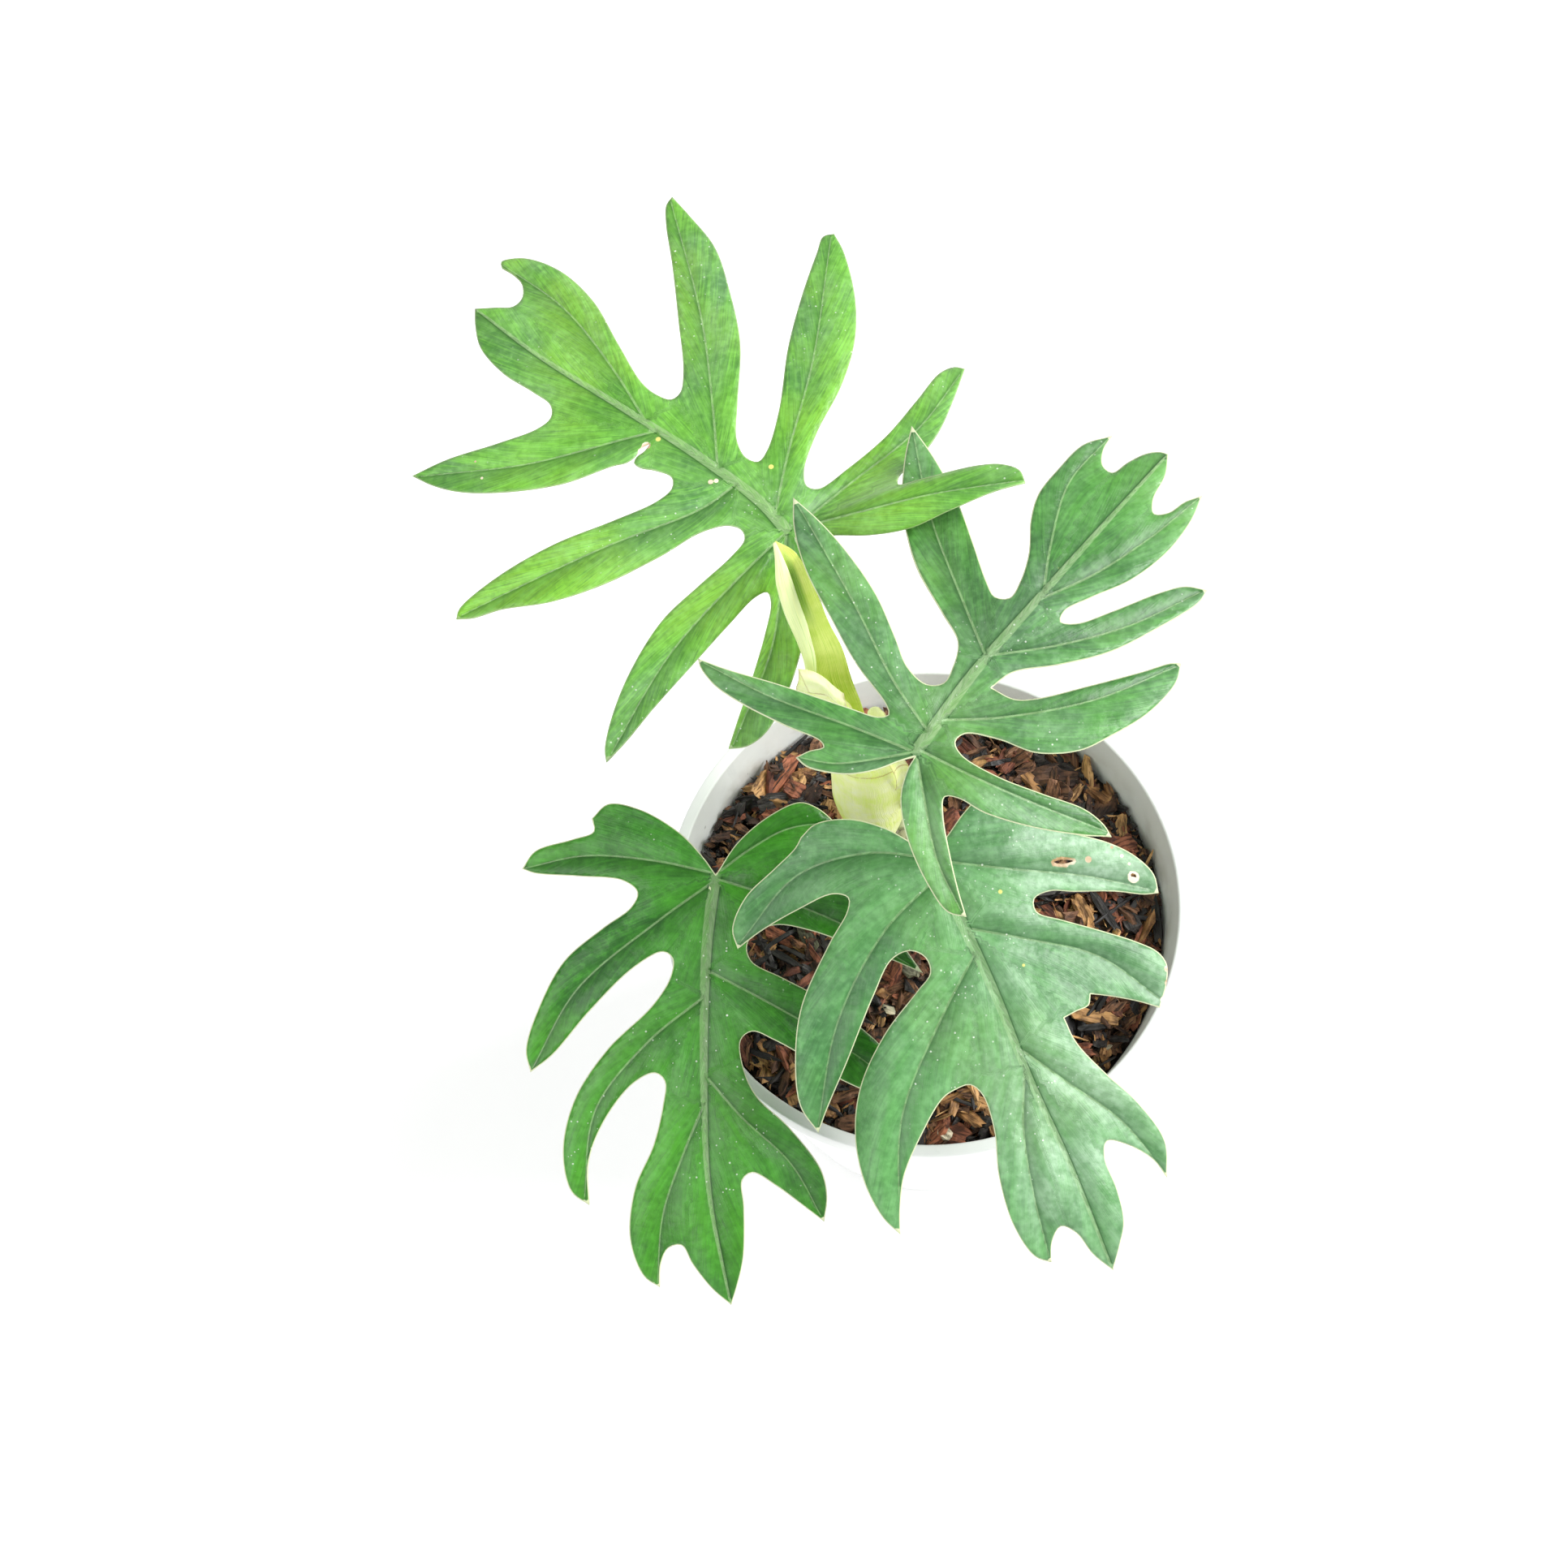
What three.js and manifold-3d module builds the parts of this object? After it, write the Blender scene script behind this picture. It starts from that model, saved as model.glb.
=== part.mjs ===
// A potted Philodendron mayoi: a white nursery pot filled with bark mix, a short stem with its roots,
// four deeply cut leaves on their petioles, a lime new leaf and the pale sheath that it came out of.
// Millimetres, +Z up. The origin is the centre of the pot's flat base, and -Y is the front.
import * as THREE from "three";
import { mergeVertices } from "three/addons/utils/BufferGeometryUtils.js";
import Module from "manifold-3d";

const wasm = await Module();
wasm.setup();

// Driving dimensions
const RIM_RADIUS = 75;
const RIM_HEIGHT = 130;
const RING_WIDTH = 3.5;
const LIP_HEIGHT = 8;
const LIP_STEP = 2.7;
const WALL = 1.8;
const EDGE = 0.8;
const BASE_RADIUS = 52;
const BASE_EDGE = 1.5;
const FLOOR = 2;
const POT_SIDES = 60;
const DRAIN_HOLES = 6;
const DRAIN_RADIUS = 4.5;
const DRAIN_RING = 36;

const GAP = 0.3;
const MIX_LEVEL = 113;
const MIX_CROWN = 5;
const MIX_BUMP = 0.8;
const MIX_SIDES = 40;
const MIX_RINGS = [0.94, 0.85, 0.75, 0.65, 0.55, 0.45, 0.35, 0.25, 0.15, 0.07];
const CHIP_COUNT = 90;
const CHIP_LENGTH = [7, 20];
const CHIP_WIDTH = [3, 6];
const CHIP_THICKNESS = [2, 4];
const CHIP_TIP = 0.27;
const CHIP_ROOM = 0.8;
const GOLDEN_ANGLE = 137.508;

const STEM_CENTRE = [-13, 20];
const STEM_RADIUS = 9;
const STEM_TOP = 124;
const STEM_FOOT = 74;
const STEM_SIDES = 16;
const STEM_WAISTS = [[79, 1], [100, 0.4], [104, 1.2], [110, 0], [114, 0.8], [119, 0]];
const ROOT_RADIUS = 1.8;
const ROOT_COUNT = 5;
const ROOT_REACH = [24, 28, 32];
const ROOT_DEPTH = [38, 44];

const BLADE = 0.9;
const FOLD_SLOPE = 0.35;
const FOLD_REACH = 9;
const FOLD_DIP = 0.85;
const LIFT_SPREAD = 2;
const LIFT_POWER = 1.5;
const WAVE = 0.7;
const MARGIN_STEP = 5.2;
const VEIN_STEP = 7.5;
const INNER_SPACING = 3;
const MARGIN_ROOM = [0.8, 1.4];
const PETIOLE_RADIUS = 2;
const PETIOLE_SIDES = 8;

// The blades lift, fold and thicken along lines that meet at this far point, above the plant's front.
const FAR_POINT = new THREE.Vector3(0, -274, 882);

// Each leaf is drawn flat on its own axes: the first number runs from the petiole toward the leaf's
// end and the second to its left. heading and pitch turn those axes, in degrees, and attach is where
// the petiole meets the blade. droop, side and back say how far the blade has bent down 100 mm out.
// A margin is a row of smooth runs, each from one point or notch to the next. A vein runs from its
// root to its lobe's end, and its lift is how far the lobe rises half way out and at its end.
const LEAVES = [
  {
    name: "leaf_upper_left",
    attach: [-36.5, 63.6, 237],
    heading: 143,
    pitch: -2,
    grow: 1,
    droop: 8,
    side: 10,
    back: 6,
    petiole: [[-17, 26, 124.6], [-17.5, 28.5, 150], [-20, 33, 180], [-26, 43, 209], [-33, 57, 230]],
    margin: [
      [[-3.5, 0.5], [-9, 4], [-17, 12], [-24, 24], [-29, 37], [-30.8, 48], [-29, 53.6], [-25.6, 56.6]],
      [[-25.6, 56.6], [-22.4, 48], [-18.8, 38], [-14, 26.5], [-10, 19], [-7.4, 17.2], [-5.8, 20], [-5, 30],
        [-4.2, 45], [-3.2, 60], [-2.8, 71], [-2, 77.3]],
      [[-2, 77.3], [0.5, 74.8], [4.4, 67], [8.2, 54.5], [10.1, 39], [8.4, 26], [6.7, 14.5], [7, 8.5],
        [9.8, 6.8],
        [13.2, 8], [17.6, 13.5], [22, 25], [29.7, 40], [38, 51.2], [48.2, 60.4], [52.8, 66], [56.6, 68.7]],
      [[56.6, 68.7], [57.8, 66], [55, 53.6], [48.2, 38.1], [39, 23.5], [33.2, 13], [32.3, 7.6], [34.5, 5],
        [39.5, 5.8], [43.5, 6.6], [45.8, 4]],
      [[45.8, 4], [46.2, 0.6]],
      [[46.2, 0.6], [47.4, 4.5], [47.2, 8], [50, 11.2], [57.4, 22.1], [68.1, 31.8], [79.7, 39.1],
        [88, 41.8],
        [95.5, 42.5]],
      [[95.5, 42.5], [90.4, 33.7], [81.2, 22.1], [75, 13], [74.2, 8.5], [77, 5.4], [84, 4.7], [95.3, 4.3],
        [106.4, 1.2], [113, -3.8], [117.4, -8.5]],
      [[117.4, -8.5], [112.3, -11.9], [108.3, -14.6], [108, -18], [111.3, -21.8], [116, -23.3],
        [120.5, -23.5]],
      [[120.5, -23.5], [122.3, -25.2], [117.6, -29.4], [106, -31.3], [90.4, -28.1], [73.9, -20.1],
        [60.3, -13.8],
        [54.5, -13], [50.2, -14], [49.6, -17], [53.5, -23.1], [65.2, -35.2], [79.7, -49.8], [91, -60.5],
        [95.8, -66.3], [96.5, -69.7]],
      [[96.5, -69.7], [87.5, -66.7], [74, -61.5], [60.4, -51.5], [46.3, -38.8], [34.5, -23], [27.5, -14],
        [22, -11], [18.6, -11.9], [18.8, -15.8], [24, -27.4], [35.1, -45.4], [42.9, -60.9], [49.5, -76],
        [51.9, -82], [50.1, -84.5]],
      [[50.1, -84.5], [43.8, -80.8], [30.5, -69], [21.5, -57], [15.5, -43.5], [11.5, -28], [7, -16.8],
        [3.5, -13.5], [0.6, -14.6], [-1.8, -24], [-3.7, -38], [-3.2, -52], [-2.6, -63], [-4.4, -67],
        [-7, -68.3]],
      [[-7, -68.3], [-10.5, -59], [-13.8, -48], [-14.7, -38], [-13.9, -30.2], [-15.2, -28.2], [-18.9, -33],
        [-28, -45.4], [-32.9, -49.8], [-37.5, -51.2], [-41.1, -49]],
      [[-41.1, -49], [-36.5, -42], [-30.5, -29.5], [-25.8, -19.5], [-19, -11.8], [-11.5, -6.1],
        [-3.5, 0.5]],
    ],
    midrib: [[0, 0], [10, -2.5], [30, -4], [60, -4.6], [90, -5.3], [117.4, -8.5]],
    veins: [
      { line: [[-1, 1], [-8, 12], [-18, 29], [-26, 55]], lift: [-13, -18] },
      { line: [[-0.5, 1], [1.2, 18], [2.5, 45], [-1.8, 76]], lift: [-2, -6] },
      { line: [[19, -3], [22, 8], [36, 31], [56, 67]], lift: [0, -3] },
      { line: [[47, -4], [52, 2], [70, 23], [94, 42]], lift: [0, -3] },
      { line: [[52, -5], [70, -13], [95, -21.5], [121, -24.5]], lift: [0, -4] },
      { line: [[26, -4], [38, -17], [60, -39], [95.5, -68]], lift: [0, -5] },
      { line: [[5, -2], [13, -17], [27, -46], [50, -83]], lift: [0, -5] },
      { line: [[-2, -3], [-5, -20], [-9, -45], [-7, -67]], lift: [-12, -25] },
      { line: [[-3, -3], [-12, -15], [-24, -31], [-40, -49]], lift: [9, 14] },
    ],
  },
  {
    name: "leaf_upper_right",
    attach: [-1.9, -5.6, 252],
    heading: 51,
    pitch: 0,
    grow: 1.013,
    droop: 10,
    side: 8,
    back: 8,
    petiole: [[-8, 25.8, 124.7], [-8.6, 29.8, 143], [-8.5, 30.2, 160], [-7.8, 27.2, 180], [-6.2, 18, 214],
      [-4, 3.5, 243]],
    margin: [
      [[-1.5, 0], [-5, 2.2], [-10, 5], [-15, 9.4], [-18.2, 14.5], [-19.9, 19], [-19.6, 22.4]],
      [[-19.6, 22.4], [-16.3, 21], [-13.4, 18.9], [-12.7, 20.6], [-14.8, 30], [-16.8, 42.7], [-17, 51],
        [-15.2, 57.3], [-13.8, 59]],
      [[-13.8, 59], [-11.6, 51], [-7.3, 38.8], [-1.4, 20.4], [1, 13.6], [3, 12], [4.6, 14], [8.8, 27.2],
        [14.6, 39.8], [21.7, 54.2], [29.2, 64.2], [36.2, 70.4]],
      [[36.2, 70.4], [34.9, 61], [32.3, 50], [27, 35.5], [20.5, 24], [16, 16.5], [15.2, 10], [18, 7],
        [23, 8], [29.1, 11.4], [33, 19.4], [38.9, 32], [45.7, 41.2], [54, 49.3], [63.1, 55.8], [72.3, 61]],
      [[72.3, 61], [67.5, 49], [60.5, 35.9], [53.9, 26.2], [47.1, 16.5], [45, 12.2], [47, 9.3],
        [52.4, 10.2],
        [60.2, 13.6], [68.5, 19.4], [76, 22.8], [85.5, 23.8], [96, 23.7], [103.4, 19.8]],
      [[103.4, 19.8], [98, 18.6], [94, 15.8], [93.8, 12.8], [99, 11.8], [104.5, 10], [107.5, 7.6],
        [108.3, 5.6]],
      [[108.3, 5.6], [102.4, 2.1], [94, -0.2], [90.8, -2.9], [93.4, -5.3], [99, -6.4], [103.7, -8.6]],
      [[103.7, -8.6], [95.2, -11.2], [83.5, -12.3], [71, -10.5], [60, -6], [53, -3.5], [49.9, -4.6],
        [52, -7.8], [60.2, -12.2], [72.8, -18], [78.5, -21.6], [81.4, -26.4]],
      [[81.4, -26.4], [77, -27], [64, -23.7], [51, -18.9], [40, -11.6], [31, -4.3], [24.5, -2.9]],
      [[24.5, -2.9], [25.6, -9], [29, -12.9], [40, -20.5], [52, -28.2], [58.5, -32], [60.2, -34]],
      [[60.2, -34], [55, -36.3], [44, -36.2], [33, -33], [25, -29.6], [17.8, -22], [14.6, -12.5],
        [10.7, -5.6],
        [7.6, -5.2], [5.9, -8.5], [7, -18.6], [10.3, -29.5], [13.8, -40], [13.6, -46], [12.4, -49]],
      [[12.4, -49], [8.3, -43.7], [2, -33], [-2.4, -21.9], [-3.4, -15.1], [-5.2, -12.2], [-9, -14.8],
        [-16, -22.6], [-21.5, -29.5], [-25.4, -35]],
      [[-25.4, -35], [-27.3, -31], [-25.2, -23.3], [-19, -11.7], [-12, -4], [-5.5, -0.8], [-1.5, 0]],
    ],
    midrib: [[0, 0.6], [10, 1.6], [25, 3], [50, 3.7], [80, 4.6], [108, 5.7]],
    veins: [
      { line: [[-1, 1], [-8, 7], [-15, 14], [-19, 21.5]], lift: [0, -1] },
      { line: [[-1, 2], [-5, 17], [-11, 38], [-14, 58]], lift: [-1, -4] },
      { line: [[5.5, 1.5], [11, 17], [22, 39], [35.6, 69]], lift: [3, 4] },
      { line: [[30, 3], [38, 16], [53, 39], [71.5, 60]], lift: [-9, -13] },
      { line: [[54, 4], [66, 11], [84, 19], [102.5, 20]], lift: [0, -3] },
      { line: [[52, 3], [66, -2.5], [84, -6.5], [103, -8.5]], lift: [0, -3] },
      { line: [[31, 3], [44, -8], [60, -18], [80.5, -25.8]], lift: [-1, -5] },
      { line: [[10, 1], [20, -10], [38, -24], [59.5, -34]], lift: [-1, -6] },
      { line: [[0.5, 0], [3.4, -15], [7.5, -31], [12.8, -48]], lift: [-2, -9] },
      { line: [[-1, 0], [-9, -9], [-19, -21], [-25.5, -34]], lift: [-4, -14] },
    ],
  },
  {
    name: "leaf_lower_right",
    attach: [1.3, -11.6, 192],
    heading: -67,
    pitch: -16,
    grow: 1.035,
    droop: 10,
    side: 12,
    back: 8,
    petiole: [[-7.5, 15, 125], [-6, 9.5, 145], [-3.4, 2.5, 168], [-0.6, -5.2, 185]],
    margin: [
      [[-1.5, 0.8], [-5, 6.6], [-9, 13], [-10.8, 18], [-7.5, 23.5], [0, 29.5], [6, 36.5],
        [12.1, 44.8], [17.8, 50],
        [23.8, 52.7], [28.7, 52]],
      [[28.7, 52], [27.7, 48.2], [24.2, 41.3], [20.4, 31.2], [18, 25.4], [18.4, 21], [21.6, 20.3],
        [26, 25.8],
        [32.5, 34.6], [38.3, 41.9], [42.6, 46], [46.4, 47], [51, 45], [56, 41]],
      [[56, 41], [52.9, 37], [49, 30.8], [46.1, 25.4]],
      [[46.1, 25.4], [48.6, 23.9], [48.8, 20.5], [49.2, 16.8]],
      [[49.2, 16.8], [56, 17.4], [65.5, 21.3], [76, 26.7], [87.9, 29.8], [96.8, 26.9]],
      [[96.8, 26.9], [90.8, 24.9], [84.6, 19.6], [82.3, 15.6], [85.9, 13.6], [94.7, 13.7], [103, 12.4],
        [108, 9.3], [113.4, 5.3]],
      [[113.4, 5.3], [107.5, 1.8], [101, -0.2], [97.9, -3.3], [100.5, -6.6], [105.5, -8.8]],
      [[105.5, -8.8], [102.4, -12.3], [93, -14.6], [80, -13.6], [68.9, -10.5], [59.5, -10], [56, -12],
        [55.7, -15.5], [56.6, -19.7], [62.6, -27.5], [71, -35.8], [78.2, -39.7], [84.5, -42.1]],
      [[84.5, -42.1], [79, -44.7], [69, -45.9], [57, -43.8], [46, -38], [36, -27.4], [29, -15.7], [26, -11],
        [22, -10.7], [19, -13.6], [19.3, -18.8], [26, -26.4], [39, -38.8], [48, -47.7], [52.9, -52.1]],
      [[52.9, -52.1], [45.1, -53.9], [34, -51], [21.8, -44.5], [9.5, -31.9], [3.5, -24.6], [0.6, -23.3],
        [-1.7, -26.6], [-1.3, -35.8], [0.2, -46.4], [2.2, -54]],
      [[2.2, -54], [-3, -53.4], [-9.2, -47.4], [-13.2, -38], [-16.2, -31], [-18.2, -28.6]],
      [[-18.2, -28.6], [-20, -24], [-18, -15.5], [-12.4, -7.8], [-6.3, -2.8], [-1.5, 0.8]],
    ],
    midrib: [[0, 0.5], [17, 1.4], [37, 2.5], [60, 2.8], [85, 4.6], [113.4, 5.3]],
    veins: [
      { line: [[0, 1], [9, 18], [18, 36], [27, 50]], lift: [-1, -5] },
      { line: [[19, 2], [27, 15], [38, 31], [54, 42]], lift: [-1, -5] },
      { line: [[52, 3], [64, 11], [79, 21], [96, 27]], lift: [0, -5] },
      { line: [[57, 2.6], [72, -3.6], [88, -7], [105, -9]], lift: [0, -4] },
      { line: [[26, 1], [38, -13], [57, -31], [83.5, -42]], lift: [-1, -6] },
      { line: [[4, 0], [12, -18], [29, -37.5], [52, -52]], lift: [-3, -11] },
      { line: [[-1, 0], [-8, -14], [-9.5, -33], [1, -53]], lift: [-7, -21] },
    ],
  },
  {
    name: "leaf_lower_left",
    attach: [-57.6, -6.3, 168],
    heading: -88,
    pitch: -16,
    grow: 1,
    droop: 10,
    side: 10,
    back: 8,
    petiole: [[-18.5, 14, 125.4], [-26, 11, 138], [-38, 5.5, 150], [-49, -0.5, 159.5]],
    margin: [
      [[0, 0], [-8.7, 6.2], [-16, 15.4], [-19.3, 23.5], [-17.8, 28], [-15, 31.5], [-12, 34]],
      [[-12, 34], [-8.6, 32], [-4.5, 26], [-2, 20], [-0.6, 19], [0.6, 21], [3, 31], [9, 40], [18, 48.5],
        [28.4, 55.6]],
      [[28.4, 55.6], [24.4, 46.9], [19, 33.5], [15.9, 25], [14.2, 16.4], [16, 10.6], [19.5, 8], [23.8, 9.1],
        [28.6, 17.5], [34, 27], [42.4, 38], [50, 45.4], [60, 50]],
      [[60, 50], [60.6, 42], [57, 33], [51, 24], [45.4, 14.6], [42.9, 8.6], [45.2, 5.5], [53.4, 6.2],
        [60.5, 9.4],
        [69, 17.8], [80.6, 26.1], [88, 27.6], [95, 26.5]],
      [[95, 26.5], [90.3, 20.7], [84.8, 13.7], [81.1, 7.4], [83, 4.7], [90.3, 4.9], [103.9, 4.2],
        [111, 2.4],
        [117, 0.3]],
      [[117, 0.3], [112.4, -4.8], [105.5, -9.9], [100.3, -12.7], [101, -16.3], [105.5, -18.6],
        [111.6, -19.1]],
      [[111.6, -19.1], [108.5, -23.4], [98.1, -26.8], [84.5, -24.9], [72.9, -19.4], [62.2, -16.4],
        [55.6, -15.7],
        [53.4, -18.2], [56, -24.2], [66, -32.6], [77, -37.3], [88.7, -37.6]],
      [[88.7, -37.6], [85, -42.4], [74, -44.4], [60, -40.7], [46.6, -31.2], [35, -18.4], [27.6, -13.3],
        [22.5, -12.5], [20.6, -15], [24.5, -23], [36, -35.6], [47.6, -46.3], [52.1, -52.6]],
      [[52.1, -52.6], [46, -53.7], [34, -49.5], [22, -42.3], [13.5, -31.5], [8, -23.5], [4.1, -21.7],
        [0.8, -25.5], [-0.9, -38], [-2.2, -50], [-3.6, -53.6]],
      [[-3.6, -53.6], [-8.4, -49.8], [-11.2, -39.5], [-13.2, -33.4], [-16.7, -33.9]],
      [[-16.7, -33.9], [-20.6, -29.3], [-18.8, -20.5], [-12, -9.7], [-4.8, -3.2], [0, 0]],
    ],
    midrib: [[0, 0], [8, -1.4], [22, -3.2], [50, -4.7], [85, -4.6], [117, 0.2]],
    veins: [
      { line: [[-0.5, 0.5], [-7, 10], [-12, 20], [-13.5, 32]], lift: [0, -2] },
      { line: [[1, 0], [6, 14], [14, 33], [28, 55]], lift: [-1, -3] },
      { line: [[26, -3], [35, 13], [46, 31], [59.5, 49]], lift: [0, -4] },
      { line: [[55, -4], [66, 5], [79, 18], [94, 26]], lift: [0, -3] },
      { line: [[62, -5], [76, -11.5], [92, -17.5], [110.5, -19.7]], lift: [0, -4] },
      { line: [[33, -4], [45, -20], [63, -35], [87.5, -39]], lift: [0, -5] },
      { line: [[2, -1], [12, -16], [30, -39], [51, -52]], lift: [-1, -6] },
      { line: [[-0.5, -0.5], [-4.5, -17], [-6.5, -36], [-3.8, -52.5]], lift: [-1, -4] },
    ],
  },
];

// The new leaf: points along its middle, from its foot inside the sheath to its tip, with how far it
// reaches to each side there. Its left margin is still rolled.
const NEW_LEAF = [
  { at: [-16.8, 24.8, 158], left: 2.4, right: 2.6, roll: 0.5 },
  { at: [-19.6, 28, 176], left: 3.8, right: 4.8, roll: 0.6 },
  { at: [-22.4, 30.4, 196], left: 5.4, right: 6, roll: 0.7 },
  { at: [-24.8, 30.8, 213], left: 6.6, right: 6.9, roll: 0.9 },
  { at: [-26.4, 33.2, 226], left: 5.9, right: 5.9, roll: 1.3 },
  { at: [-28.9, 36, 234], left: 5.2, right: 5, roll: 1.5 },
  { at: [-31.6, 39, 242], left: 4.9, right: 4.7, roll: 1.5 },
  { at: [-34, 44.3, 248], left: 4.5, right: 4.4, roll: 1.3 },
  { at: [-35.8, 47.7, 252.3], left: 2.9, right: 3, roll: 0.9 },
  { at: [-38.3, 50.6, 255], left: 0.5, right: 0.5, roll: 0.3 },
];
const NEW_PETIOLE = [[-13.6, 21.6, 124.6], [-14.2, 22.6, 140], [-15.8, 24.2, 153], [-18.2, 26.6, 168]];
const NEW_PETIOLE_RADIUS = 1.5;

// The sheath: a boat-shaped scale that is round toward the front, with its middle line, its radius
// across and how far it wraps, in degrees to the left and to the right. Its right side is torn away
// above the first third, and its top flares.
const SHEATH = [
  { at: [-14, 20.4, 124.9], radius: 4.6, left: 80, right: 80 },
  { at: [-14.4, 21, 131], radius: 7.4, left: 80, right: 72 },
  { at: [-15, 23, 139], radius: 10.4, left: 76, right: 58 },
  { at: [-15.4, 24.3, 149], radius: 11.8, left: 72, right: 48 },
  { at: [-15.4, 25.5, 158], radius: 12, left: 71, right: 46 },
  { at: [-15.4, 26.6, 168], radius: 12, left: 70, right: 40 },
  { at: [-15.6, 27, 172], radius: 12, left: 69, right: 38 },
  { at: [-16.2, 28, 175], radius: 11.8, left: 64, right: 6 },
  { at: [-20, 30.1, 191], radius: 11.4, left: 66, right: 6 },
  { at: [-24.6, 31.8, 209], radius: 12, left: 50, right: 10 },
  { at: [-27, 34.1, 221], radius: 16, left: 28, right: 14 },
  { at: [-28.6, 34.9, 228], radius: 16, left: 16, right: 12 },
];
const SHEATH_COLUMNS = 11;
const SHEATH_BULGE = 0.45;
const SHEET = 0.8;
const ROLL_TURNS = [200, 150, 100, 50, 0];
const NEW_LEAF_RISE = 0.12;

function radians(degrees) {
  return (degrees * Math.PI) / 180;
}

// A repeatable draw of numbers from 0 to 1.
function draw(seed) {
  let state = seed;
  return () => {
    state = (state * 1664525 + 1013904223) % 4294967296;
    return state / 4294967296;
  };
}

// A closed geometry as a solid that can be joined and cut, and back.
function solid(geometry) {
  const bare = geometry.clone();
  bare.deleteAttribute("normal");
  bare.deleteAttribute("uv");
  const merged = mergeVertices(bare, 1e-3);
  return new wasm.Manifold(
    new wasm.Mesh({
      numProp: 3,
      vertProperties: new Float32Array(merged.attributes.position.array),
      triVerts: new Uint32Array(merged.index.array),
    }),
  );
}

function geometryOf(manifold) {
  const mesh = manifold.getMesh();
  return new THREE.BufferGeometry()
    .setAttribute("position", new THREE.BufferAttribute(new Float32Array(mesh.vertProperties), 3))
    .setIndex(new THREE.BufferAttribute(new Uint32Array(mesh.triVerts), 1));
}

function curveThrough(points) {
  const vectors = points.map(([x, y, z = 0]) => new THREE.Vector3(x, y, z));
  return new THREE.CatmullRomCurve3(vectors, false, "centripetal");
}

// Points along a smooth line through hand-set points, about one step apart.
function sample(points, step) {
  const curve = curveThrough(points);
  const spans = points.length - 1;
  const out = [];
  for (let i = 0; i < spans; i += 1) {
    const length = curve.points[i].distanceTo(curve.points[i + 1]);
    const pieces = Math.max(1, Math.round(length / step));
    for (let j = 0; j < pieces; j += 1) out.push(curve.getPoint((i + j / pieces) / spans));
  }
  out.push(curve.getPoint(1));
  return out;
}

// A round rod along a smooth line.
function rod(points, radius, sides, steps) {
  const section = new THREE.Shape();
  for (let i = 0; i < sides; i += 1) {
    const turn = (2 * Math.PI * i) / sides;
    if (i === 0) section.moveTo(radius, 0);
    else section.lineTo(radius * Math.cos(turn), radius * Math.sin(turn));
  }
  const extrudePath = curveThrough(points);
  return solid(new THREE.ExtrudeGeometry(section, { extrudePath, steps, bevelEnabled: false }));
}

// The nearest place on a polyline: how far off it is, and how far along it lies, from 0 to 1.
function nearest(line, x, y) {
  let best = { distance: Infinity, along: 0 };
  for (let i = 0; i + 1 < line.length; i += 1) {
    const a = line[i];
    const b = line[i + 1];
    const dx = b.x - a.x;
    const dy = b.y - a.y;
    const t = Math.min(1, Math.max(0, ((x - a.x) * dx + (y - a.y) * dy) / (dx * dx + dy * dy)));
    const distance = Math.hypot(x - a.x - t * dx, y - a.y - t * dy);
    if (distance < best.distance) best = { distance, along: (i + t) / (line.length - 1) };
  }
  return best;
}

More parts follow.
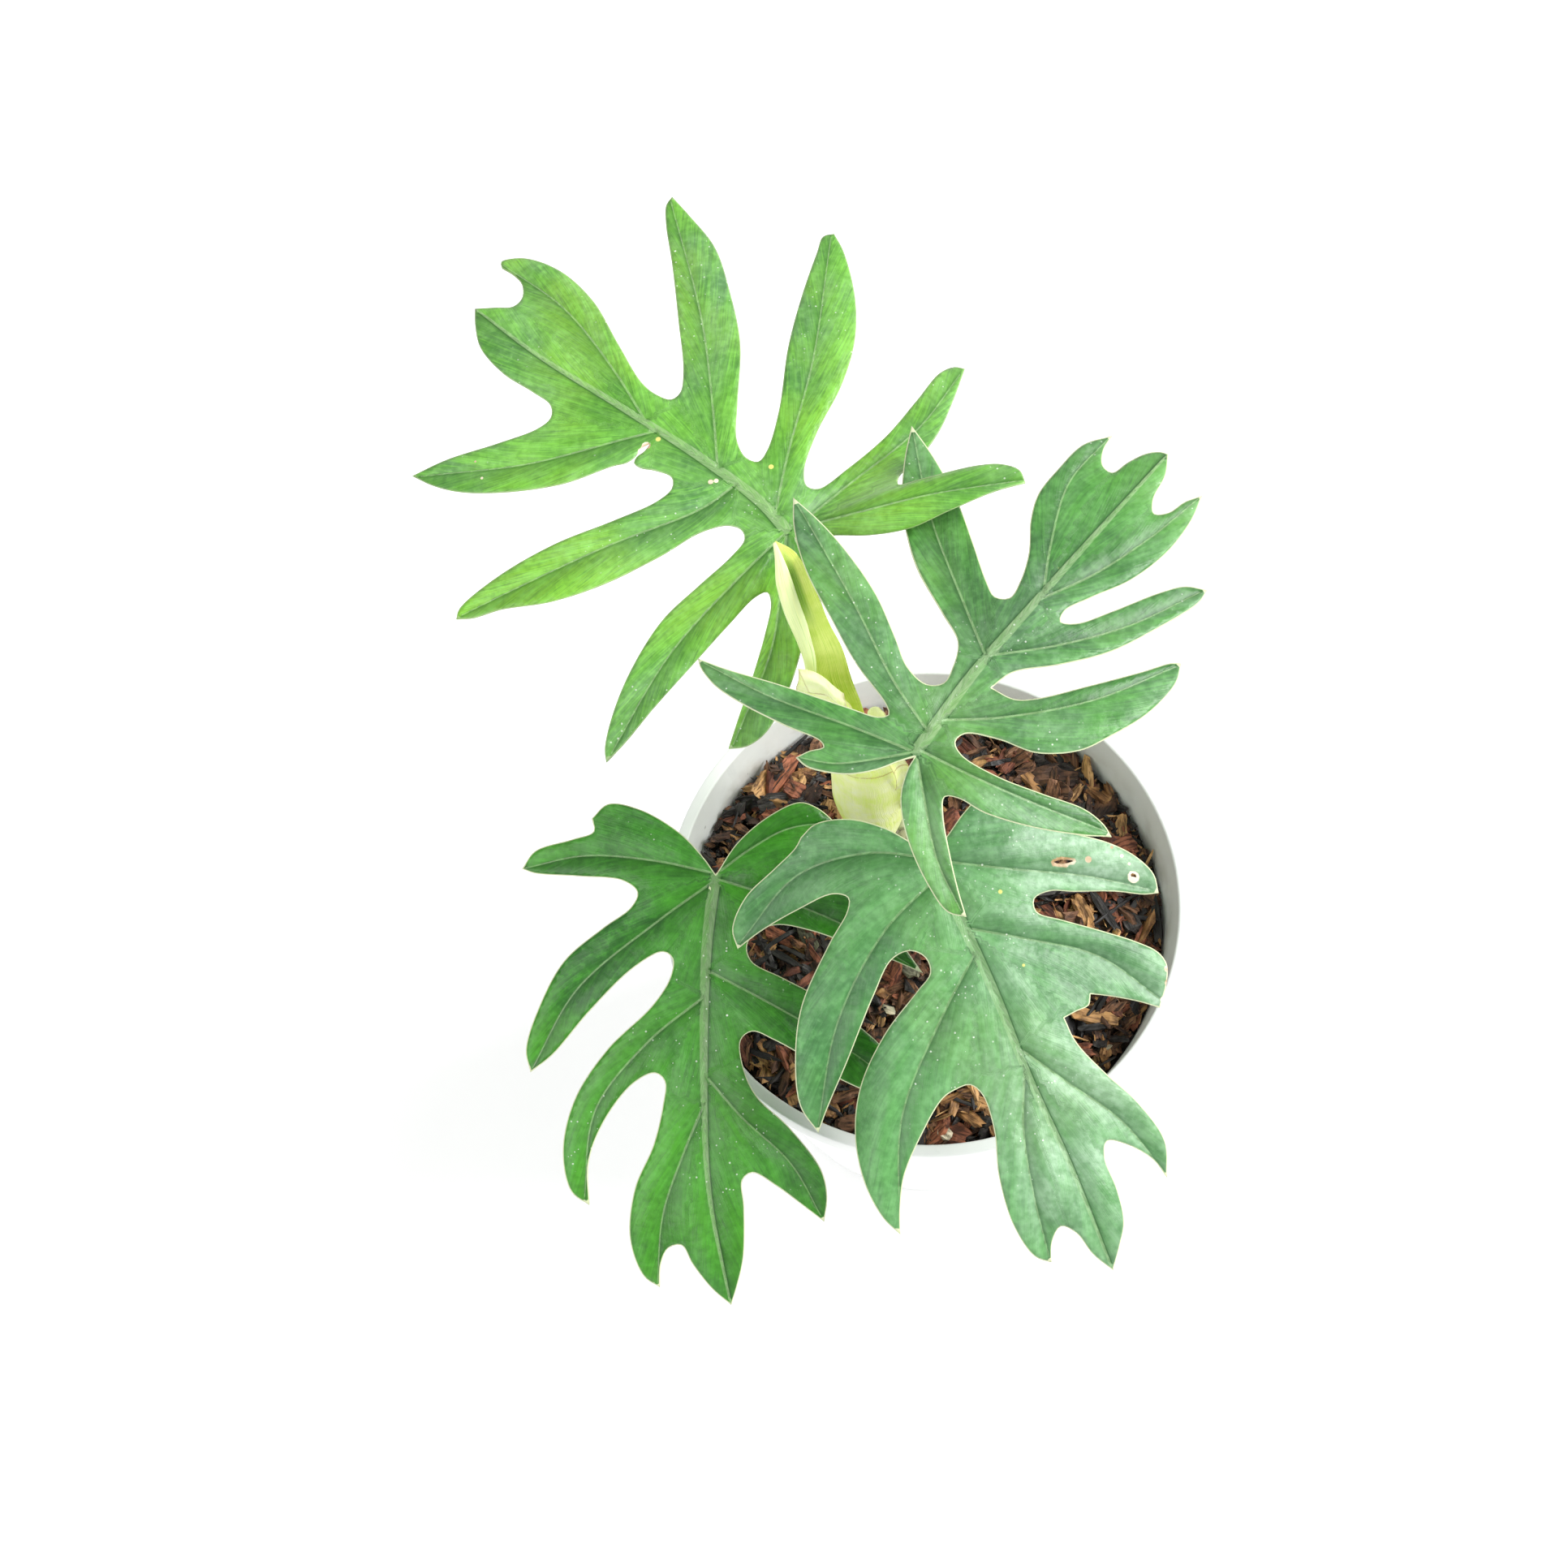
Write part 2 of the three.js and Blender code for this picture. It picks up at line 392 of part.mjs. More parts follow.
// A leaf blade: its margin and veins as polylines, and the surface that they lie on.
class Blade {
  constructor(leaf) {
    this.leaf = leaf;
    this.margin = leaf.margin.flatMap((run) => sample(run, MARGIN_STEP).slice(0, -1)).reverse();
    this.closed = [...this.margin, this.margin[0]];
    this.midrib = sample(leaf.midrib, VEIN_STEP);
    this.veins = leaf.veins.map((vein) => sample(vein.line, VEIN_STEP));
    const heading = radians(leaf.heading);
    const pitch = radians(leaf.pitch);
    this.out = new THREE.Vector3(
      Math.cos(heading) * Math.cos(pitch),
      Math.sin(heading) * Math.cos(pitch),
      Math.sin(pitch),
    );
    this.left = new THREE.Vector3(-Math.sin(heading), Math.cos(heading), 0);
    this.up = new THREE.Vector3().crossVectors(this.out, this.left);
  }

  // How far the lobe around a place has risen: the nearest veins count the most.
  lift(u, v) {
    const pull = (distance) => 1 / (distance ** 2 + LIFT_SPREAD ** 2) ** LIFT_POWER;
    let weights = pull(nearest(this.midrib, u, v).distance);
    let total = 0;
    this.veins.forEach((line, i) => {
      const { distance, along } = nearest(line, u, v);
      const [middle, end] = this.leaf.veins[i].lift;
      total += pull(distance) * ((4 * middle - end) * along + (2 * end - 4 * middle) * along ** 2);
      weights += pull(distance);
    });
    return total / weights;
  }

  // The blade is sunk along each vein, arched half way to the margin and bent down at the margin.
  fold(u, v) {
    const vein = Math.min(...[this.midrib, ...this.veins].map((line) => nearest(line, u, v).distance));
    const edge = nearest(this.closed, u, v).distance;
    const half = Math.max(0.1, Math.min(FOLD_REACH, vein + edge));
    const across = Math.min(1, vein / half);
    return FOLD_SLOPE * half * (across - FOLD_DIP * across ** 2);
  }

  wave(u, v) {
    return WAVE * Math.sin(u / 11 + v / 17) * Math.sin(v / 9 - u / 23);
  }

  point(u, v) {
    const { attach, grow, droop, side, back } = this.leaf;
    const bend = (u > 0 ? droop : back) * (u / 100) ** 2 + side * (v / 100) ** 2;
    const place = new THREE.Vector3(...attach)
      .addScaledVector(this.out, grow * u)
      .addScaledVector(this.left, grow * v)
      .addScaledVector(this.up, -bend);
    return place.addScaledVector(toward(place), this.lift(u, v) + this.fold(u, v) + this.wave(u, v));
  }

  // Places inside the margin: along the veins, and half way from each vein to the margin.
  inside() {
    const found = [];
    const keep = (x, y, room) => {
      if (!encloses(this.margin, x, y) || nearest(this.closed, x, y).distance < room) return;
      if (found.some((p) => Math.hypot(p.x - x, p.y - y) < INNER_SPACING)) return;
      found.push(new THREE.Vector3(x, y, 0));
    };
    const lines = [this.midrib, ...this.veins];
    lines.forEach((line) => line.forEach((p) => keep(p.x, p.y, MARGIN_ROOM[0])));
    for (const line of lines) {
      for (let i = 0; i + 1 < line.length; i += 1) {
        const along = line[i + 1].clone().sub(line[i]).normalize();
        for (const way of [-1, 1]) {
          const reach = this.reach(line[i], -way * along.y, way * along.x);
          keep(line[i].x - way * along.y * reach, line[i].y + way * along.x * reach, MARGIN_ROOM[1]);
        }
      }
    }
    return found;
  }

  // Half the way from a place to the margin, in one direction, and never more than 6 mm.
  reach(from, dx, dy) {
    let free = 0;
    const clear = (d) => encloses(this.margin, from.x + dx * d, from.y + dy * d);
    while (free < 12 && clear(free + 0.5)) free += 0.5;
    return free / 2;
  }

  // The blade as a closed sheet, split into triangles alike on both faces.
  sheet() {
    const flat = [...this.margin, ...this.inside()];
    const faces = triangulate(flat, this.margin.length);
    const middle = flat.map((p) => this.point(p.x, p.y));
    const count = flat.length;
    const rim = this.margin.length;
    const position = [1, -1].flatMap((face) =>
      middle.flatMap((p) => p.clone().addScaledVector(toward(p), (face * BLADE) / 2).toArray()),
    );
    const index = faces.flatMap(([a, b, c]) => [a, b, c, a + count, c + count, b + count]);
    for (let i = 0; i < rim; i += 1) {
      const j = (i + 1) % rim;
      index.push(i, i + count, j + count, i, j + count, j);
    }
    const geometry = new THREE.BufferGeometry();
    geometry.setAttribute("position", new THREE.Float32BufferAttribute(position, 3));
    geometry.setIndex(index);
    return solid(geometry);
  }

  // The petiole comes up behind the blade and runs on a little way under the midrib.
  petiole() {
    const under = [2, 9].map((u) => {
      const rib = this.midrib.reduce((a, b) => (Math.abs(b.x - u) < Math.abs(a.x - u) ? b : a));
      return this.point(u, rib.y * (u / Math.max(rib.x, u))).addScaledVector(this.up, 0.2 - PETIOLE_RADIUS);
    });
    const route = [...this.leaf.petiole, ...under.map((p) => p.toArray())];
    return rod(route, PETIOLE_RADIUS, PETIOLE_SIDES, 5 * route.length);
  }
}

// The way from a place to the far point.
function toward(place) {
  return FAR_POINT.clone().sub(place).normalize();
}

function encloses(line, x, y) {
  let inside = false;
  line.forEach((a, i) => {
    const b = line[(i + 1) % line.length];
    if (a.y > y !== b.y > y && x < ((b.x - a.x) * (y - a.y)) / (b.y - a.y) + a.x) inside = !inside;
  });
  return inside;
}

function turn(a, b, c) {
  return (b.x - a.x) * (c.y - a.y) - (b.y - a.y) * (c.x - a.x);
}

function inCircle(a, b, c, d) {
  const [ax, ay, bx, by, cx, cy] = [a.x - d.x, a.y - d.y, b.x - d.x, b.y - d.y, c.x - d.x, c.y - d.y];
  return (
    (ax * ax + ay * ay) * (bx * cy - cx * by) -
    (bx * bx + by * by) * (ax * cy - cx * ay) +
    (cx * cx + cy * cy) * (ax * by - bx * ay)
  );
}

// Splits an outline, the first points, into triangles that also use every point inside it.
function triangulate(points, rim) {
  const outline = points.slice(0, rim).map((p) => new THREE.Vector2(p.x, p.y));
  let faces = THREE.ShapeUtils.triangulateShape(outline, []);
  for (let p = rim; p < points.length; p += 1) {
    const home = faces.find(([a, b, c]) =>
      [[a, b], [b, c], [c, a]].every(([s, t]) => turn(points[s], points[t], points[p]) >= 0),
    );
    const [a, b, c] = home;
    faces = faces.filter((face) => face !== home);
    faces.push([a, b, p], [b, c, p], [c, a, p]);
  }
  relax(points, faces);
  return faces;
}

// Turns the shared edges of narrow triangles until every pair is as even as it can be.
function relax(points, faces) {
  for (let turned = true; turned; ) {
    turned = false;
    const owner = new Map();
    faces.forEach((face, i) => {
      face.forEach((a, k) => owner.set(a + "," + face[(k + 1) % 3], [i, face[(k + 2) % 3]]));
    });
    const touched = new Set();
    for (const [edge, [i, c]] of owner) {
      const [a, b] = edge.split(",").map(Number);
      const other = owner.get(b + "," + a);
      if (!other || touched.has(i) || touched.has(other[0])) continue;
      const d = other[1];
      const [pa, pb, pc, pd] = [a, b, c, d].map((k) => points[k]);
      const bowed = turn(pc, pd, pb) <= 1e-9 || turn(pd, pc, pa) <= 1e-9;
      if (bowed || inCircle(pa, pb, pc, pd) <= 1e-6) continue;
      faces[i] = [c, d, b];
      faces[other[0]] = [d, c, a];
      touched.add(i).add(other[0]);
      turned = true;
    }
  }
}

// A curved sheet between rows of points: both faces, and the strip that closes it all round.
function sheetThrough(rows, thickness) {
  const high = rows.length;
  const wide = rows[0].length;
  const at = (r, c) => rows[Math.min(high - 1, Math.max(0, r))][Math.min(wide - 1, Math.max(0, c))];
  const position = [];
  for (const face of [0.5, -0.5]) {
    for (let r = 0; r < high; r += 1) {
      for (let c = 0; c < wide; c += 1) {
        const along = at(r + 1, c).clone().sub(at(r - 1, c));
        const across = at(r, c + 1).clone().sub(at(r, c - 1));
        const normal = across.cross(along).normalize();
        position.push(...at(r, c).clone().addScaledVector(normal, face * thickness).toArray());
      }
    }
  }
  const count = high * wide;
  const index = [];
  const quad = (a, b, c, d) => index.push(a, b, c, a, c, d);
  for (let r = 0; r + 1 < high; r += 1) {
    for (let c = 0; c + 1 < wide; c += 1) {
      const a = r * wide + c;
      quad(a, a + 1, a + 1 + wide, a + wide);
      quad(a + count, a + count + wide, a + count + wide + 1, a + count + 1);
    }
  }
  const border = [];
  for (let c = 0; c < wide; c += 1) border.push(c);
  for (let r = 1; r < high; r += 1) border.push(r * wide + wide - 1);
  for (let c = wide - 2; c >= 0; c -= 1) border.push((high - 1) * wide + c);
  for (let r = high - 2; r > 0; r -= 1) border.push(r * wide);
  border.forEach((a, i) => {
    const b = border[(i + 1) % border.length];
    quad(a, a + count, b + count, b);
  });
  const geometry = new THREE.BufferGeometry();
  geometry.setAttribute("position", new THREE.Float32BufferAttribute(position, 3));
  geometry.setIndex(index);
  return solid(geometry);
}

// Axes at each station of a sheet: along it, to the right of the front view, and toward the front.
function stationAxes(stations, i) {
  const before = new THREE.Vector3(...stations[Math.max(0, i - 1)].at);
  const after = new THREE.Vector3(...stations[Math.min(stations.length - 1, i + 1)].at);
  const along = after.sub(before).normalize();
  const right = new THREE.Vector3().crossVectors(along, toward(before)).normalize();
  const front = new THREE.Vector3().crossVectors(right, along);
  return { right, front };
}

function newLeaf() {
  const rows = NEW_LEAF.map((station, i) => {
    const { right, front } = stationAxes(NEW_LEAF, i);
    const { left: reach, right: width, roll } = station;
    const place = (x, y) =>
      new THREE.Vector3(...station.at).addScaledVector(right, x).addScaledVector(front, y);
    const rolled = ROLL_TURNS.map((degrees) =>
      place(
        -reach + roll - roll * Math.sin(radians(degrees)),
        roll - roll * Math.cos(radians(degrees)),
      ),
    );
    const flat = [0.1, 0.4, 0.7, 1].map((share) =>
      place(width * share, NEW_LEAF_RISE * width * share ** 2),
    );
    return [...rolled, ...flat];
  });
  return sheetThrough(rows, SHEET).add(rod(NEW_PETIOLE, NEW_PETIOLE_RADIUS, PETIOLE_SIDES, 14));
}

function sheath() {
  const rows = SHEATH.map((station, i) => {
    const { right, front } = stationAxes(SHEATH, i);
    return Array.from({ length: SHEATH_COLUMNS }, (unused, k) => {
      const angle = radians(((station.left + station.right) * k) / (SHEATH_COLUMNS - 1) - station.left);
      return new THREE.Vector3(...station.at)
        .addScaledVector(right, station.radius * Math.sin(angle))
        .addScaledVector(front, station.radius * (Math.cos(angle) - 1 + SHEATH_BULGE));
    });
  });
  return sheetThrough(rows, SHEET);
}

// The pot's inner face, as its radius at a height.
function potInside(z) {
  const bottom = BASE_RADIUS - WALL;
  const top = RIM_RADIUS - RING_WIDTH;
  return bottom + ((top - bottom) * (z - FLOOR)) / (RIM_HEIGHT - FLOOR);
}

function turned(profile, sides) {
  const outline = profile.map(([r, z]) => new THREE.Vector2(r, z));
  return new THREE.LatheGeometry(outline, sides).rotateX(Math.PI / 2);
}

function pot() {
  const under = RIM_HEIGHT - LIP_HEIGHT;
  const neck = RIM_RADIUS - LIP_STEP;
  const profile = [
    [0, 0],
    [BASE_RADIUS - BASE_EDGE, 0],
    [BASE_RADIUS, BASE_EDGE],
    [neck, under],
    [RIM_RADIUS - EDGE, under],
    [RIM_RADIUS, under + EDGE],
    [RIM_RADIUS, RIM_HEIGHT - EDGE],
    [RIM_RADIUS - EDGE, RIM_HEIGHT],
    [RIM_RADIUS - RING_WIDTH + EDGE, RIM_HEIGHT],
    [RIM_RADIUS - RING_WIDTH, RIM_HEIGHT - EDGE],
    [potInside(FLOOR + 2), FLOOR + 2],
    [potInside(FLOOR) - 2, FLOOR],
    [0, FLOOR],
  ];
  let body = solid(turned(profile, POT_SIDES));
  for (let i = 0; i < DRAIN_HOLES; i += 1) {
    const angle = (2 * Math.PI * i) / DRAIN_HOLES;
    const hole = new THREE.CylinderGeometry(DRAIN_RADIUS, DRAIN_RADIUS, 4 * FLOOR, 16).rotateX(Math.PI / 2);
    hole.translate(DRAIN_RING * Math.cos(angle), DRAIN_RING * Math.sin(angle), 0);
    body = body.subtract(solid(hole));
  }
  return body;
}

// The stem with its thick roots. grow makes the hollow that it stands in.
function stem(grow) {
  const [x, y] = STEM_CENTRE;
  const radius = STEM_RADIUS + grow;
  const top = grow ? STEM_TOP + 20 : STEM_TOP;
  const profile = [
    [0, STEM_FOOT - grow],
    [radius - 4, STEM_FOOT - grow],
    ...STEM_WAISTS.map(([z, waist]) => [radius - waist, z]),
    [radius, top - EDGE],
    [radius - EDGE, top],
    [0, top],
  ];
  let body = solid(turned(profile, STEM_SIDES).translate(x, y, 0));
  for (let i = 0; i < ROOT_COUNT; i += 1) {
    const angle = (2 * Math.PI * (i + 0.3)) / ROOT_COUNT;
    const far = ROOT_REACH[i % ROOT_REACH.length];
    const deep = STEM_FOOT - ROOT_DEPTH[i % ROOT_DEPTH.length];
    const route = [[3, 92], [11, 84], [far, 66], [far + 3, (66 + deep) / 2], [far + grow, deep - grow]].map(
      ([r, z]) => [x + r * Math.cos(angle), y + r * Math.sin(angle) - 0.4 * r, z],
    );
    body = body.add(rod(route, ROOT_RADIUS + 3 * grow, 6, 10));
  }
  return body;
}

function mixTop(x, y) {
  const r = Math.hypot(x, y) / potInside(MIX_LEVEL);
  const bumps = Math.sin(x / 7 + 1) * Math.cos(y / 6) + 0.6 * Math.sin(x / 3.7 - y / 4.6);
  return MIX_LEVEL + MIX_CROWN * (1 - r * r) + MIX_BUMP * bumps;
}

// Bark and husk chips that stand out of the mix, with their lower halves sunk in it.
function chips() {
  const random = draw(41);
  const between = ([least, most], share) => least + (most - least) * share;
  const made = [];
  for (let i = 0; i < CHIP_COUNT; i += 1) {
    const long = between(CHIP_LENGTH, random() ** 1.6);
    const wide = between(CHIP_WIDTH, random());
    const thick = between(CHIP_THICKNESS, random());
    const spin = Math.PI * random();
    const tip = CHIP_TIP * (2 * random() - 1);
    const room = Math.hypot(long, wide) / 2 + CHIP_ROOM;
    const spread = (potInside(MIX_LEVEL) - 2) * Math.sqrt((i + 0.5) / CHIP_COUNT);
    const radius = Math.min(spread, potInside(MIX_LEVEL) - GAP - room);
    const x = radius * Math.cos(i * radians(GOLDEN_ANGLE));
    const y = radius * Math.sin(i * radians(GOLDEN_ANGLE));
    if (Math.hypot(x - STEM_CENTRE[0], y - STEM_CENTRE[1]) < STEM_RADIUS + room + 1) continue;
    const chip = new THREE.BoxGeometry(long, wide, thick);
    const corners = chip.attributes.position;
    for (let k = 0; k < corners.count; k += 1) {
      const taper = corners.getX(k) > 0 ? 0.72 : 0.9;
      corners.setY(k, corners.getY(k) * taper);
      corners.setX(k, corners.getX(k) + 0.12 * corners.getY(k));
    }
    chip.rotateY(tip).rotateZ(spin).translate(x, y, mixTop(x, y) + 0.16 * thick);
    made.push(solid(chip));
  }
  return made;
}

function pottingMix() {
  const level = potInside(MIX_LEVEL) - GAP;
  const profile = [[0, FLOOR + GAP], [potInside(FLOOR) - 2 - 2 * GAP, FLOOR + GAP]];
  profile.push([potInside(FLOOR + 2) - GAP, FLOOR + 2 + GAP], [level, MIX_LEVEL]);
  for (const share of MIX_RINGS) profile.push([level * share, MIX_LEVEL + 1]);
  profile.push([0, MIX_LEVEL + 1]);
  const geometry = turned(profile, MIX_SIDES);
  const place = geometry.attributes.position;
  for (let i = 0; i < place.count; i += 1) {
    if (place.getZ(i) > MIX_LEVEL + 0.5) place.setZ(i, mixTop(place.getX(i), place.getY(i)));
  }
  let body = solid(geometry);
  for (const chip of chips()) body = body.add(chip);
  return body.subtract(stem(1.5 * GAP));
}

const FINISH = {
  pot: { color: 0xf1f2f0, roughness: 0.42 },
  potting_mix: { color: 0x5a3a26, roughness: 0.95 },
  stem: { color: 0x7d7350, roughness: 0.8 },
  leaf: { color: 0x4f9a44, roughness: 0.45 },
  new_leaf: { color: 0xc3d63c, roughness: 0.4 },
  sheath: { color: 0xe4ec9e, roughness: 0.45 },
};

function mesh(name, body, finish) {
  const material = new THREE.MeshStandardMaterial({ ...finish, metalness: 0 });
  const made = new THREE.Mesh(geometryOf(body), material);
  made.name = name;
  return made;
}

const plant = new THREE.Group();
plant.add(mesh("pot", pot(), FINISH.pot));
plant.add(mesh("potting_mix", pottingMix(), FINISH.potting_mix));
plant.add(mesh("stem", stem(0), FINISH.stem));
for (const leaf of LEAVES) {
  const blade = new Blade(leaf);
  plant.add(mesh(leaf.name, blade.sheet().add(blade.petiole()), FINISH.leaf));
}
plant.add(mesh("new_leaf", newLeaf(), FINISH.new_leaf));
plant.add(mesh("sheath", sheath(), FINISH.sheath));

export default plant;
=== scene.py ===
import math
import random

import bmesh
import bpy
import numpy as np
from mathutils import Matrix, Vector, noise
from mathutils.geometry import delaunay_2d_cdt


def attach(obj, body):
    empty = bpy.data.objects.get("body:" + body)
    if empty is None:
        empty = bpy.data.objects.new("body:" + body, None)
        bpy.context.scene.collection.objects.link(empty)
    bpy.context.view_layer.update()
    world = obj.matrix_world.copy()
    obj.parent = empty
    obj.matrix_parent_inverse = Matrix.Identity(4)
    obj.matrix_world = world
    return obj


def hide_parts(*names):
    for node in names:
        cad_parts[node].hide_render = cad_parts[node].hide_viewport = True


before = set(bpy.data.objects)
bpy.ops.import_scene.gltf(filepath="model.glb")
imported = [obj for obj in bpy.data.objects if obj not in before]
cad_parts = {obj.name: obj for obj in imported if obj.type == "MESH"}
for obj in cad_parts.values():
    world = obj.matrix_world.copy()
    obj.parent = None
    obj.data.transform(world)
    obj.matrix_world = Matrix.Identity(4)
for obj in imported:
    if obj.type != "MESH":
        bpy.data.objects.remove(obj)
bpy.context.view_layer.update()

# Driving dimensions, as the solids have them
MM = 0.001
RIM_RADIUS = 75
RIM_HEIGHT = 130
RING_WIDTH = 3.5
LIP_HEIGHT = 8
LIP_STEP = 2.7
WALL = 1.8
BASE_RADIUS = 52
BASE_EDGE = 1.5
FLOOR = 2
DRAIN_HOLES = 6
DRAIN_RADIUS = 4.5
DRAIN_RING = 36
GAP = 0.3
MIX_LEVEL = 113
MIX_CROWN = 5
MIX_BUMP = 0.8
STEM_CENTRE = (-13, 20)
STEM_RADIUS = 9
STEM_TOP = 124
STEM_FOOT = 74
ROOT_COUNT = 5
ROOT_RADIUS = 1.8
FOLD_SLOPE = 0.35
FOLD_REACH = 9
FOLD_DIP = 0.85
LIFT_SPREAD = 2
LIFT_POWER = 1.5
WAVE = 0.7
FAR_POINT = np.array([0, -274, 882.0])

# What the finer pieces add to the pot, the leaves and the mix
POT_STEPS = 144
POT_BEVEL = 0.7
LEAF_THICKNESS = 0.5
MARGIN_STEP = 1.1
VEIN_STEP = 1.3
HOLE_STEP = 0.5
LEAF_GRID = 1.35
ROW_SHARE = 0.87
NET_CLEAR = 0.55
VEIN_CLEAR = 0.5
MARK_CLEAR = 0.2
MARK_FROM_VEINS = 0.25
MARK_RINGS = (0.3, 0.65, 1.0)
MARK_SIDES = 10
BESIDE_VEIN = (0.45, 1.05)
VEIN_HALF_WIDTH = (0.34, 0.12)
MIDRIB_HALF_WIDTH = (1.7, 0.35)
MIDRIB_RISE = 0.3
THICKEST = 2.0
THIN_SHARE = 0.18
RIB_SHARE = 0.5
VEIN_SHARE = 0.2
VEIN_GROOVE = 0.45
GROOVE_WIDTH = 1.8
RIPPLE = 0.30
RIPPLE_SIZE = 6.5
FLOW_APART = 7.0
PETIOLE_RADIUS = 2.1
NEW_PETIOLE_RADIUS = 1.6
NEW_LEAF_THICKNESS = 0.45
SHEATH_THICKNESS = 0.4
STRIP_THICKNESS = 0.35
BARK_ROUGHNESS = 0.35
FLOOR_BEND = 2
BED_STEPS = 150
BED_RINGS = 64
BED_DEPTH = 2.6
CHIP_THINNESS = 0.55
CLEAR_OF_WALL = 0.4
CLEAR_OF_STEM = 1.5
GRAIN_SPREAD = 900
PILE_RISE = 3.0
PILE_FROM = 45
PILE_TO = 66

